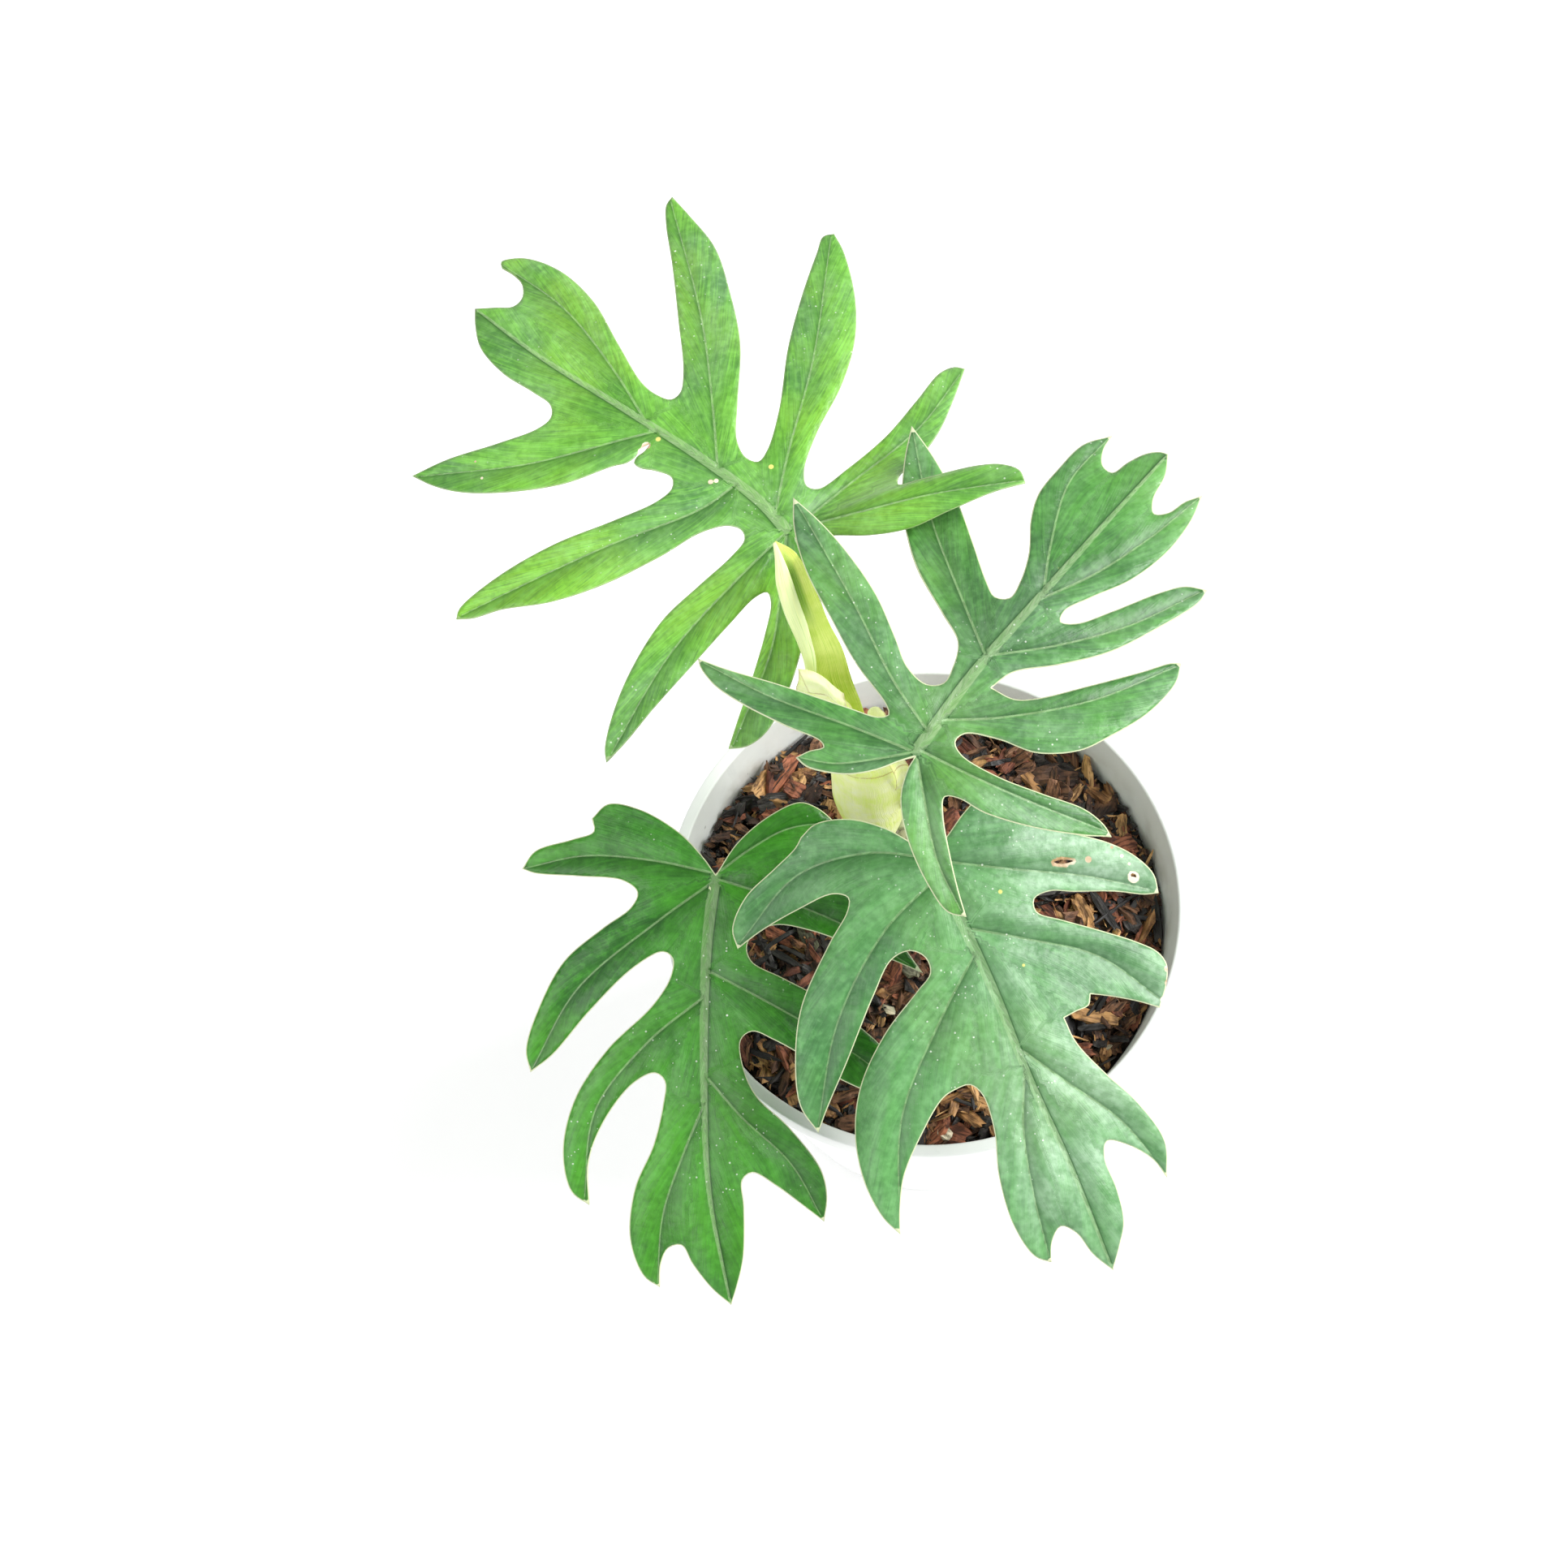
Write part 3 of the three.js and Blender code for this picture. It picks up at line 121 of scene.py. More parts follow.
# Each leaf is drawn flat on its own axes: the first number runs from the petiole toward the leaf's
# end and the second to its left. grow scales the drawing, heading and pitch turn its axes, in degrees,
# and attach is where the petiole meets the blade. droop, side and back say how far the blade has bent
# down 100 mm out.
# A margin is a row of smooth runs from one point or notch to the next, and each run starts where
# the one before it ends. A vein is its line, from its root to its lobe's end, and how far the lobe
# rises half way out and at its end. scars and spots are round marks: a place and a radius.
LEAVES = [
    {
        "name": "leaf_upper_left",
        "scars": [(46.4, 1.2, 1.5), (46.6, 3.2, 1.0), (25, 0.2, 0.9), (24, -0.9, 0.8), (78, 33, 0.5),
            (83, 30, 0.4)],
        "spots": [(14.8, -12.6, 0.9), (45, -2.2, 0.9)],
        "attach": (-36.5, 63.6, 237),
        "heading": 143,
        "pitch": -2,
        "grow": 1,
        "droop": 8,
        "side": 10,
        "back": 6,
        "petiole": [(-17, 26, 124.6), (-17.5, 28.5, 150), (-20, 33, 180), (-26, 43, 209), (-33, 57, 230)],
        "margin": [
            [(-9, 4), (-17, 12), (-24, 24), (-29, 37), (-30.8, 48), (-29, 53.6), (-25.6, 56.6)],
            [(-22.4, 48), (-18.8, 38), (-14, 26.5), (-10, 19), (-7.4, 17.2), (-5.8, 20), (-5, 30),
                (-4.2, 45), (-3.2, 60), (-2.8, 71), (-2, 77.3)],
            [(0.5, 74.8), (4.4, 67), (8.2, 54.5), (10.1, 39), (8.4, 26), (6.7, 14.5), (7, 8.5),
                (9.8, 6.8), (13.2, 8), (17.6, 13.5), (22, 25), (29.7, 40), (38, 51.2), (48.2, 60.4),
                (52.8, 66), (56.6, 68.7)],
            [(57.8, 66), (55, 53.6), (48.2, 38.1), (39, 23.5), (33.2, 13), (32.3, 7.6), (34.5, 5),
                (39.5, 5.8), (43.4, 7.4), (45.7, 7.2), (46.3, 5.3), (45.7, 2.6), (46, 0)],
            [(47, 2.6), (46.6, 5.3), (47.4, 8.2), (50, 11.2), (57.4, 22.1), (68.1, 31.8), (79.7, 39.1),
                (88, 41.8), (95.5, 42.5)],
            [(90.4, 33.7), (81.2, 22.1), (75, 13), (74.2, 8.5), (77, 5.4), (84, 4.7), (95.3, 4.3),
                (106.4, 1.2), (113, -3.8), (117.4, -8.5)],
            [(112.3, -11.9), (108.3, -14.6), (108, -18), (111.3, -21.8), (116, -23.3), (120.5, -23.5)],
            [(122.3, -25.2), (117.6, -29.4), (106, -31.3), (90.4, -28.1), (73.9, -20.1), (60.3, -13.8),
                (54.5, -13), (50.2, -14), (49.6, -17), (53.5, -23.1), (65.2, -35.2), (79.7, -49.8),
                (91, -60.5), (95.8, -66.3), (96.5, -69.7)],
            [(87.5, -66.7), (74, -61.5), (60.4, -51.5), (46.3, -38.8), (34.5, -23), (27.5, -14),
                (22, -11), (18.6, -11.9), (18.8, -15.8), (24, -27.4), (35.1, -45.4), (42.9, -60.9),
                (49.5, -76), (51.9, -82), (50.1, -84.5)],
            [(43.8, -80.8), (30.5, -69), (21.5, -57), (15.5, -43.5), (11.5, -28), (7, -16.8),
                (3.5, -13.5), (0.6, -14.6), (-1.8, -24), (-3.7, -38), (-3.2, -52), (-2.6, -63),
                (-4.4, -67), (-7, -68.3)],
            [(-10.5, -59), (-13.8, -48), (-14.7, -38), (-13.9, -30.2), (-15.2, -28.2), (-18.9, -33),
                (-28, -45.4), (-32.9, -49.8), (-37.5, -51.2), (-41.1, -49)],
            [(-36.5, -42), (-30.5, -29.5), (-25.8, -19.5), (-19, -11.8), (-11.5, -6.1), (-3.5, 0.5)],
        ],
        "midrib": [(0, 0), (10, -2.5), (30, -4), (60, -4.6), (90, -5.3), (117.4, -8.5)],
        "veins": [
            ([(-1, 1), (-8, 12), (-18, 29), (-26, 55)], -13, -18),
            ([(-0.5, 1), (1.2, 18), (2.5, 45), (-1.8, 76)], -2, -6),
            ([(19, -3), (22, 8), (36, 31), (56, 67)], 0, -3),
            ([(47, -4), (52, 2), (70, 23), (94, 42)], 0, -3),
            ([(52, -5), (70, -13), (95, -21.5), (121, -24.5)], 0, -4),
            ([(26, -4), (38, -17), (60, -39), (95.5, -68)], 0, -5),
            ([(5, -2), (13, -17), (27, -46), (50, -83)], 0, -5),
            ([(-2, -3), (-5, -20), (-9, -45), (-7, -67)], -12, -25),
            ([(-3, -3), (-12, -15), (-24, -31), (-40, -49)], 9, 14),
        ],
    },
    {
        "name": "leaf_upper_right",
        "attach": (-1.9, -5.6, 252),
        "heading": 51,
        "pitch": 0,
        "grow": 1.013,
        "droop": 10,
        "side": 8,
        "back": 8,
        "petiole": [(-8, 25.8, 124.7), (-8.6, 29.8, 143), (-8.5, 30.2, 160), (-7.8, 27.2, 180),
            (-6.2, 18, 214), (-4, 3.5, 243)],
        "margin": [
            [(-5, 2.2), (-10, 5), (-15, 9.4), (-18.2, 14.5), (-19.9, 19), (-19.6, 22.4)],
            [(-16.3, 21), (-13.4, 18.9), (-12.7, 20.6), (-14.8, 30), (-16.8, 42.7), (-17, 51),
                (-15.2, 57.3), (-13.8, 59)],
            [(-11.6, 51), (-7.3, 38.8), (-1.4, 20.4), (1, 13.6), (3, 12), (4.6, 14), (8.8, 27.2),
                (14.6, 39.8), (21.7, 54.2), (29.2, 64.2), (36.2, 70.4)],
            [(34.9, 61), (32.3, 50), (27, 35.5), (20.5, 24), (16, 16.5), (15.2, 10), (18, 7), (23, 8),
                (29.1, 11.4), (33, 19.4), (38.9, 32), (45.7, 41.2), (54, 49.3), (63.1, 55.8), (72.3, 61)],
            [(67.5, 49), (60.5, 35.9), (53.9, 26.2), (47.1, 16.5), (45, 12.2), (47, 9.3), (52.4, 10.2),
                (60.2, 13.6), (68.5, 19.4), (76, 22.8), (85.5, 23.8), (96, 23.7), (103.4, 19.8)],
            [(98, 18.6), (94, 15.8), (93.8, 12.8), (99, 11.8), (104.5, 10), (107.5, 7.6), (108.3, 5.6)],
            [(102.4, 2.1), (94, -0.2), (90.8, -2.9), (93.4, -5.3), (99, -6.4), (103.7, -8.6)],
            [(95.2, -11.2), (83.5, -12.3), (71, -10.5), (60, -6), (53, -3.5), (49.9, -4.6), (52, -7.8),
                (60.2, -12.2), (72.8, -18), (78.5, -21.6), (81.4, -26.4)],
            [(77, -27), (64, -23.7), (51, -18.9), (40, -11.6), (31, -4.3), (24.5, -2.9)],
            [(25.6, -9), (29, -12.9), (40, -20.5), (52, -28.2), (58.5, -32), (60.2, -34)],
            [(55, -36.3), (44, -36.2), (33, -33), (25, -29.6), (17.8, -22), (14.6, -12.5), (10.7, -5.6),
                (7.6, -5.2), (5.9, -8.5), (7, -18.6), (10.3, -29.5), (13.8, -40), (13.6, -46),
                (12.4, -49)],
            [(8.3, -43.7), (2, -33), (-2.4, -21.9), (-3.4, -15.1), (-5.2, -12.2), (-9, -14.8),
                (-16, -22.6), (-21.5, -29.5), (-25.4, -35)],
            [(-27.3, -31), (-25.2, -23.3), (-19, -11.7), (-12, -4), (-5.5, -0.8), (-1.5, 0)],
        ],
        "midrib": [(0, 0.6), (10, 1.6), (25, 3), (50, 3.7), (80, 4.6), (108, 5.7)],
        "veins": [
            ([(-1, 1), (-8, 7), (-15, 14), (-19, 21.5)], 0, -1),
            ([(-1, 2), (-5, 17), (-11, 38), (-14, 58)], -1, -4),
            ([(5.5, 1.5), (11, 17), (22, 39), (35.6, 69)], 3, 4),
            ([(30, 3), (38, 16), (53, 39), (71.5, 60)], -9, -13),
            ([(54, 4), (66, 11), (84, 19), (102.5, 20)], 0, -3),
            ([(52, 3), (66, -2.5), (84, -6.5), (103, -8.5)], 0, -3),
            ([(31, 3), (44, -8), (60, -18), (80.5, -25.8)], -1, -5),
            ([(10, 1), (20, -10), (38, -24), (59.5, -34)], -1, -6),
            ([(0.5, 0), (3.4, -15), (7.5, -31), (12.8, -48)], -2, -9),
            ([(-1, 0), (-9, -9), (-19, -21), (-25.5, -34)], -4, -14),
        ],
    },
    {
        "name": "leaf_lower_right",
        "holes": [
            [(11.4, 29.2), (11.6, 31.2), (12.5, 33.4), (13.1, 34.2), (13, 32.2), (12.2, 30)],
            [(21.5, 47.4), (22.2, 48.2), (23, 48), (22.6, 47.4), (22.3, 46.8), (21.7, 46.9)],
        ],
        "scars": [(14.1, 38, 1.1), (22.6, 47.4, 1.9), (47.5, 46.8, 1.2), (51, 45.6, 1.3),
            (54.5, 42.8, 1.2), (16.4, 46.6, 0.6), (19, 47.6, 0.5), (13.4, 45, 0.5)],
        "spots": [(13.5, 13.5, 0.7), (22, 21.4, 0.6), (27.6, 29, 0.7), (33, 12, 0.5)],
        "attach": (1.3, -11.6, 192),
        "heading": -67,
        "pitch": -16,
        "grow": 1.035,
        "droop": 10,
        "side": 12,
        "back": 8,
        "petiole": [(-7.5, 15, 125), (-6, 9.5, 145), (-3.4, 2.5, 168), (-0.6, -5.2, 185)],
        "margin": [
            [(-5, 6.6), (-9, 13), (-10.8, 18), (-7.5, 23.5), (0, 29.5), (6, 36.5), (12.1, 44.8),
                (17.8, 50), (23.8, 52.7), (28.7, 52)],
            [(27.7, 48.2), (24.2, 41.3), (20.4, 31.2), (18, 25.4), (18.4, 21), (21.6, 20.3), (26, 25.8),
                (32.5, 34.6), (38.3, 41.9), (42.6, 46), (46.4, 47), (51, 45), (56, 41)],
            [(52.9, 37), (49, 30.8), (46.1, 25.4)],
            [(48.6, 23.9), (48.8, 20.5), (49.2, 16.8)],
            [(56, 17.4), (65.5, 21.3), (76, 26.7), (87.9, 29.8), (96.8, 26.9)],
            [(90.8, 24.9), (84.6, 19.6), (82.3, 15.6), (85.9, 13.6), (94.7, 13.7), (103, 12.4),
                (108, 9.3), (113.4, 5.3)],
            [(107.5, 1.8), (101, -0.2), (97.9, -3.3), (100.5, -6.6), (105.5, -8.8)],
            [(102.4, -12.3), (93, -14.6), (80, -13.6), (68.9, -10.5), (59.5, -10), (56, -12),
                (55.7, -15.5), (56.6, -19.7), (62.6, -27.5), (71, -35.8), (78.2, -39.7), (84.5, -42.1)],
            [(79, -44.7), (69, -45.9), (57, -43.8), (46, -38), (36, -27.4), (29, -15.7), (26, -11),
                (22, -10.7), (19, -13.6), (19.3, -18.8), (26, -26.4), (39, -38.8), (48, -47.7),
                (52.9, -52.1)],
            [(45.1, -53.9), (34, -51), (21.8, -44.5), (9.5, -31.9), (3.5, -24.6), (0.6, -23.3),
                (-1.7, -26.6), (-1.3, -35.8), (0.2, -46.4), (2.2, -54)],
            [(-3, -53.4), (-9.2, -47.4), (-13.2, -38), (-16.2, -31), (-18.2, -28.6)],
            [(-20, -24), (-18, -15.5), (-12.4, -7.8), (-6.3, -2.8), (-1.5, 0.8)],
        ],
        "midrib": [(0, 0.5), (17, 1.4), (37, 2.5), (60, 2.8), (85, 4.6), (113.4, 5.3)],
        "veins": [
            ([(0, 1), (9, 18), (18, 36), (27, 50)], -1, -5),
            ([(19, 2), (27, 15), (38, 31), (54, 42)], -1, -5),
            ([(52, 3), (64, 11), (79, 21), (96, 27)], 0, -5),
            ([(57, 2.6), (72, -3.6), (88, -7), (105, -9)], 0, -4),
            ([(26, 1), (38, -13), (57, -31), (83.5, -42)], -1, -6),
            ([(4, 0), (12, -18), (29, -37.5), (52, -52)], -3, -11),
            ([(-1, 0), (-8, -14), (-9.5, -33), (1, -53)], -7, -21),
        ],
    },
    {
        "name": "leaf_lower_left",
        "attach": (-57.6, -6.3, 168),
        "heading": -88,
        "pitch": -16,
        "grow": 1,
        "droop": 10,
        "side": 10,
        "back": 8,
        "petiole": [(-18.5, 14, 125.4), (-26, 11, 138), (-38, 5.5, 150), (-49, -0.5, 159.5)],
        "margin": [
            [(-8.7, 6.2), (-16, 15.4), (-19.3, 23.5), (-17.8, 28), (-15, 31.5), (-12, 34)],
            [(-8.6, 32), (-4.5, 26), (-2, 20), (-0.6, 19), (0.6, 21), (3, 31), (9, 40), (18, 48.5),
                (28.4, 55.6)],
            [(24.4, 46.9), (19, 33.5), (15.9, 25), (14.2, 16.4), (16, 10.6), (19.5, 8), (23.8, 9.1),
                (28.6, 17.5), (34, 27), (42.4, 38), (50, 45.4), (60, 50)],
            [(60.6, 42), (57, 33), (51, 24), (45.4, 14.6), (42.9, 8.6), (45.2, 5.5), (53.4, 6.2),
                (60.5, 9.4), (69, 17.8), (80.6, 26.1), (88, 27.6), (95, 26.5)],
            [(90.3, 20.7), (84.8, 13.7), (81.1, 7.4), (83, 4.7), (90.3, 4.9), (103.9, 4.2), (111, 2.4),
                (117, 0.3)],
            [(112.4, -4.8), (105.5, -9.9), (100.3, -12.7), (101, -16.3), (105.5, -18.6), (111.6, -19.1)],
            [(108.5, -23.4), (98.1, -26.8), (84.5, -24.9), (72.9, -19.4), (62.2, -16.4), (55.6, -15.7),
                (53.4, -18.2), (56, -24.2), (66, -32.6), (77, -37.3), (88.7, -37.6)],
            [(85, -42.4), (74, -44.4), (60, -40.7), (46.6, -31.2), (35, -18.4), (27.6, -13.3),
                (22.5, -12.5), (20.6, -15), (24.5, -23), (36, -35.6), (47.6, -46.3), (52.1, -52.6)],
            [(46, -53.7), (34, -49.5), (22, -42.3), (13.5, -31.5), (8, -23.5), (4.1, -21.7), (0.8, -25.5),
                (-0.9, -38), (-2.2, -50), (-3.6, -53.6)],
            [(-8.4, -49.8), (-11.2, -39.5), (-13.2, -33.4), (-16.7, -33.9)],
            [(-20.6, -29.3), (-18.8, -20.5), (-12, -9.7), (-4.8, -3.2), (0, 0)],
        ],
        "midrib": [(0, 0), (8, -1.4), (22, -3.2), (50, -4.7), (85, -4.6), (117, 0.2)],
        "veins": [
            ([(-0.5, 0.5), (-7, 10), (-12, 20), (-13.5, 32)], 0, -2),
            ([(1, 0), (6, 14), (14, 33), (28, 55)], -1, -3),
            ([(26, -3), (35, 13), (46, 31), (59.5, 49)], 0, -4),
            ([(55, -4), (66, 5), (79, 18), (94, 26)], 0, -3),
            ([(62, -5), (76, -11.5), (92, -17.5), (110.5, -19.7)], 0, -4),
            ([(33, -4), (45, -20), (63, -35), (87.5, -39)], 0, -5),
            ([(2, -1), (12, -16), (30, -39), (51, -52)], -1, -6),
            ([(-0.5, -0.5), (-4.5, -17), (-6.5, -36), (-3.8, -52.5)], -1, -4),
        ],
    },
]

# What each leaf's finish has of its own: its two greens, how pale its bloom and painted sheen are and from
# which x in metres that painted sheen thickens toward the side the light comes from, how warm its greens
# turn, how strongly veins, fine lines and margin show, and how crumpled its tissue is.
LEAF_LOOKS = {
    "leaf_upper_left": {
        "deep": (0.028, 0.180, 0.008), "fresh": (0.145, 0.450, 0.022), "bloom_and_sheen": 0.16, "warmth": 0.6,
        "painted_sheen_from": (-0.30, -0.20), "veins": 0.45, "lines": 0.40, "margin": 0.3, "crumple": 0.35,
    },
    "leaf_upper_right": {
        "deep": (0.011, 0.110, 0.011), "fresh": (0.070, 0.290, 0.028), "bloom_and_sheen": 0.20, "warmth": 0.5,
        "painted_sheen_from": (-0.30, -0.20), "veins": 0.42, "lines": 0.28, "margin": 0.85, "crumple": 0.5,
    },
    "leaf_lower_right": {
        "deep": (0.022, 0.145, 0.024), "fresh": (0.095, 0.310, 0.075), "bloom_and_sheen": 0.74, "warmth": 0.2,
        "painted_sheen_from": (0.000, 0.062), "veins": 0.30, "lines": 0.14, "margin": 0.9, "crumple": 0.9,
    },
    "leaf_lower_left": {
        "deep": (0.006, 0.100, 0.001), "fresh": (0.042, 0.270, 0.004), "bloom_and_sheen": 0.05, "warmth": 0.4,
        "painted_sheen_from": (-0.30, -0.20), "veins": 0.38, "lines": 0.22, "margin": 0.9, "crumple": 0.5,
    },
}

# The new leaf: points along its middle, from its foot inside the sheath to its tip, with how far it
# reaches to each side there. Its left margin is still rolled.
NEW_LEAF = [
    {"at": (-16.8, 24.8, 158), "left": 2.4, "right": 2.6, "roll": 0.5},
    {"at": (-19.6, 28, 176), "left": 3.8, "right": 4.8, "roll": 0.6},
    {"at": (-22.4, 30.4, 196), "left": 5.4, "right": 5.2, "roll": 0.7},
    {"at": (-24.8, 30.8, 213), "left": 6.6, "right": 5.2, "roll": 0.9},
    {"at": (-26.4, 33.2, 226), "left": 5.9, "right": 4.8, "roll": 1.1},
    {"at": (-28.9, 36, 234), "left": 5.2, "right": 4.4, "roll": 1.3},
    {"at": (-31.6, 39, 242), "left": 4.9, "right": 4.7, "roll": 1.6},
    {"at": (-34, 44.3, 248), "left": 4.5, "right": 4.4, "roll": 1.5},
    {"at": (-35.8, 47.7, 252.3), "left": 2.9, "right": 3, "roll": 0.9},
    {"at": (-38.3, 50.6, 255), "left": 0.5, "right": 0.5, "roll": 0.3},
]
NEW_PETIOLE = [(-13.6, 21.6, 124.6), (-14.2, 22.6, 140), (-15.8, 24.2, 153), (-18.2, 26.6, 168)]
NEW_LEAF_RISE = 0.12
ROLL_TURN = 230
ROLLED = 0.45
ROLL_FLATTEN = 1.6

# The sheath: a boat-shaped scale that is round toward the front, with its middle line, its radius
# across and how far it wraps, in degrees to the left and to the right.
SHEATH = [
    {"at": (-14, 20.4, 124.9), "radius": 4.6, "left": 80, "right": 80},
    {"at": (-14.4, 21, 131), "radius": 7.4, "left": 80, "right": 72},
    {"at": (-15, 23, 139), "radius": 10.4, "left": 76, "right": 58},
    {"at": (-15.4, 24.3, 149), "radius": 11.8, "left": 72, "right": 48},
    {"at": (-15.4, 25.5, 158), "radius": 12, "left": 71, "right": 46},
    {"at": (-15.4, 26.6, 168), "radius": 12, "left": 70, "right": 40},
    {"at": (-15.6, 27, 172), "radius": 12, "left": 69, "right": 38},
    {"at": (-16.2, 28, 175), "radius": 11.8, "left": 64, "right": 6},
    {"at": (-20, 30.1, 191), "radius": 11.4, "left": 66, "right": 6},
    {"at": (-24.6, 31.8, 209), "radius": 12, "left": 52, "right": 2},
    {"at": (-27, 34.1, 221), "radius": 16, "left": 33, "right": 1},
    {"at": (-28.6, 35, 229), "radius": 16, "left": 26, "right": 6},
]
SHEATH_BULGE = 0.45
SHEATH_CURL = 1.8
SHEATH_CURL_FALL = 7.5
CURL_SLANT = 0.17
CURL_START = 0.84
CURL_OVER = 0.4
# A strip torn from the sheath's right side, that stands up behind the upper right leaf
TORN_STRIP = [
    {"at": (-8.4, 24, 146), "half": 1.8},
    {"at": (-6.4, 23.4, 158), "half": 2.3},
    {"at": (-6.6, 23.6, 168), "half": 2.4},
    {"at": (-9, 23.6, 180), "half": 2.2},
    {"at": (-11.6, 23.4, 196), "half": 2.3},
    {"at": (-13.6, 23.6, 209), "half": 2.6},
    {"at": (-14.2, 24, 213), "half": 1.6},
]


def added(name, data):
    """Puts an object in the scene."""
    made = bpy.data.objects.new(name, data)
    bpy.context.scene.collection.objects.link(made)
    return made


# Camera, at the photograph's angle: 70 degrees above the level and 0.8 m from the rim
camera = added("photo_camera", bpy.data.cameras.new("photo_camera"))
camera.location = (0, -0.2736, 0.8818)
camera.rotation_euler = [math.radians(turn) for turn in (22.4186, 2.7264, 1.0582)]
camera.data.sensor_width = 36
camera.data.lens = 64.155
camera.data.clip_start = 0.01
bpy.context.scene.camera = camera


# Lines and places

def spline(points, places):
    """Places on a smooth line through points: place 2.5 is half way from the third to the fourth."""
    line = np.asarray(points, float)
    line = np.vstack([2 * line[0] - line[1], line, 2 * line[-1] - line[-2]])
    places = np.asarray(places, float)
    first = np.clip(np.floor(places).astype(int), 0, len(points) - 2)
    t = (places - first)[:, None]
    a, b, c, d = (line[first + k] for k in range(4))
    ab, bc, cd = (
        np.maximum(np.linalg.norm(end - start, axis=1, keepdims=True), 1e-6) ** 0.5
        for start, end in ((a, b), (b, c), (c, d))
    )
    leave = ((b - a) / ab - (c - a) / (ab + bc) + (c - b) / bc) * bc
    arrive = ((c - b) / bc - (d - b) / (bc + cd) + (d - c) / cd) * bc
    curve = b + leave * t + (3 * (c - b) - 2 * leave - arrive) * t**2
    return curve + (2 * (b - c) + leave + arrive) * t**3


def smooth_line(points, step):
    """A smooth line through given points, cut into pieces of about one step."""
    places = []
    for i, (start, end) in enumerate(zip(points, points[1:])):
        pieces = max(1, round(math.dist(start, end) / step))
        places += [i + j / pieces for j in range(pieces)]
    return spline(points, places + [len(points) - 1])


def nearest(line, places):
    """For each place: how far a polyline is, how far along it the nearest point lies, and its side."""
    found = []
    starts = line[:-1]
    spans = line[1:] - starts
    for some in np.array_split(places, max(1, len(places) // 1500)):
        apart = some[:, None] - starts[None]
        t = np.clip((apart * spans).sum(2) / (spans**2).sum(1), 0, 1)
        gap = apart - t[..., None] * spans
        far = np.hypot(gap[..., 0], gap[..., 1])
        k = far.argmin(1)
        row = np.arange(len(some))
        side = np.sign(spans[k, 0] * apart[row, k, 1] - spans[k, 1] * apart[row, k, 0])
        found.append(np.stack([far[row, k], (k + t[row, k]) / len(spans), side], 1))
    return np.vstack(found).T


def encloses(line, places):
    """Whether each place lies inside a closed outline."""
    inside = np.zeros(len(places), bool)
    for a, b in zip(line, np.roll(line, -1, 0)):
        if a[1] == b[1]:
            continue
        crossed = (a[1] > places[:, 1]) != (b[1] > places[:, 1])
        inside ^= crossed & (places[:, 0] < (b[0] - a[0]) * (places[:, 1] - a[1]) / (b[1] - a[1]) + a[0])
    return inside


def thinned(places, room):
    """Places, left out where one that came before is nearer than about the room given."""
    kept = {}
    for place in places:
        kept.setdefault((round(place[0] / room), round(place[1] / room)), place)
    return np.array(list(kept.values()))

def rough(places, size, seed):
    """Smooth noise from -1 to 1 at each flat place, with bumps of about one size."""
    shift = Vector((seed, seed, seed))
    return np.array([noise.noise(Vector((x, y, 0)) + shift) for x, y in places / size])


def toward(places):
    """The way from each place to the far point."""
    way = FAR_POINT - places
    return way / np.linalg.norm(way, axis=1, keepdims=True)


def fade(value, low, high):
    """0 below low, 1 above high, and a smooth change between them."""
    t = np.clip((value - low) / (high - low), 0, 1)
    return t * t * (3 - 2 * t)


# Pieces

def finished(name, mesh, materials, replaces=None):
    """Puts a finished mesh in the scene as a piece of the plant."""
    piece = added(name, mesh)
    for material in materials:
        mesh.materials.append(material)
    mesh.shade_smooth()
    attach(piece, "root")
    if replaces:
        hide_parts(replaces)


def mesh_of(bm, name):
    """The bmesh as a mesh in metres."""
    bmesh.ops.scale(bm, vec=(MM, MM, MM), verts=bm.verts)
    mesh = bpy.data.meshes.new(name)
    bm.to_mesh(mesh)
    bm.free()
    return mesh


def baked(thing):
    """The mesh of an object with its modifiers worked out. The object itself is removed."""
    bpy.context.view_layer.update()
    mesh = bpy.data.meshes.new_from_object(thing.evaluated_get(bpy.context.evaluated_depsgraph_get()))
    bpy.data.objects.remove(thing)
    return mesh


def carry(mesh, name, values):
    """Gives each point of a mesh a number or a vector, under a name that its finish looks up."""
    values = np.asarray(values, np.float32)
    kind, field = ("FLOAT", "value") if values.ndim == 1 else ("FLOAT_VECTOR", "vector")
    mesh.attributes.new(name, kind, "POINT").data.foreach_set(field, values.ravel())


def grid(bm, across, along):
    """A flat grid of faces: its vertices, and the shares from 0 to 1 across and along it of each."""
    made = bmesh.ops.create_grid(bm, x_segments=across, y_segments=along, size=1)["verts"]
    shares = np.array([((v.co.x + 1) / 2, (v.co.y + 1) / 2) for v in made])
    return made, shares[:, 0], shares[:, 1]


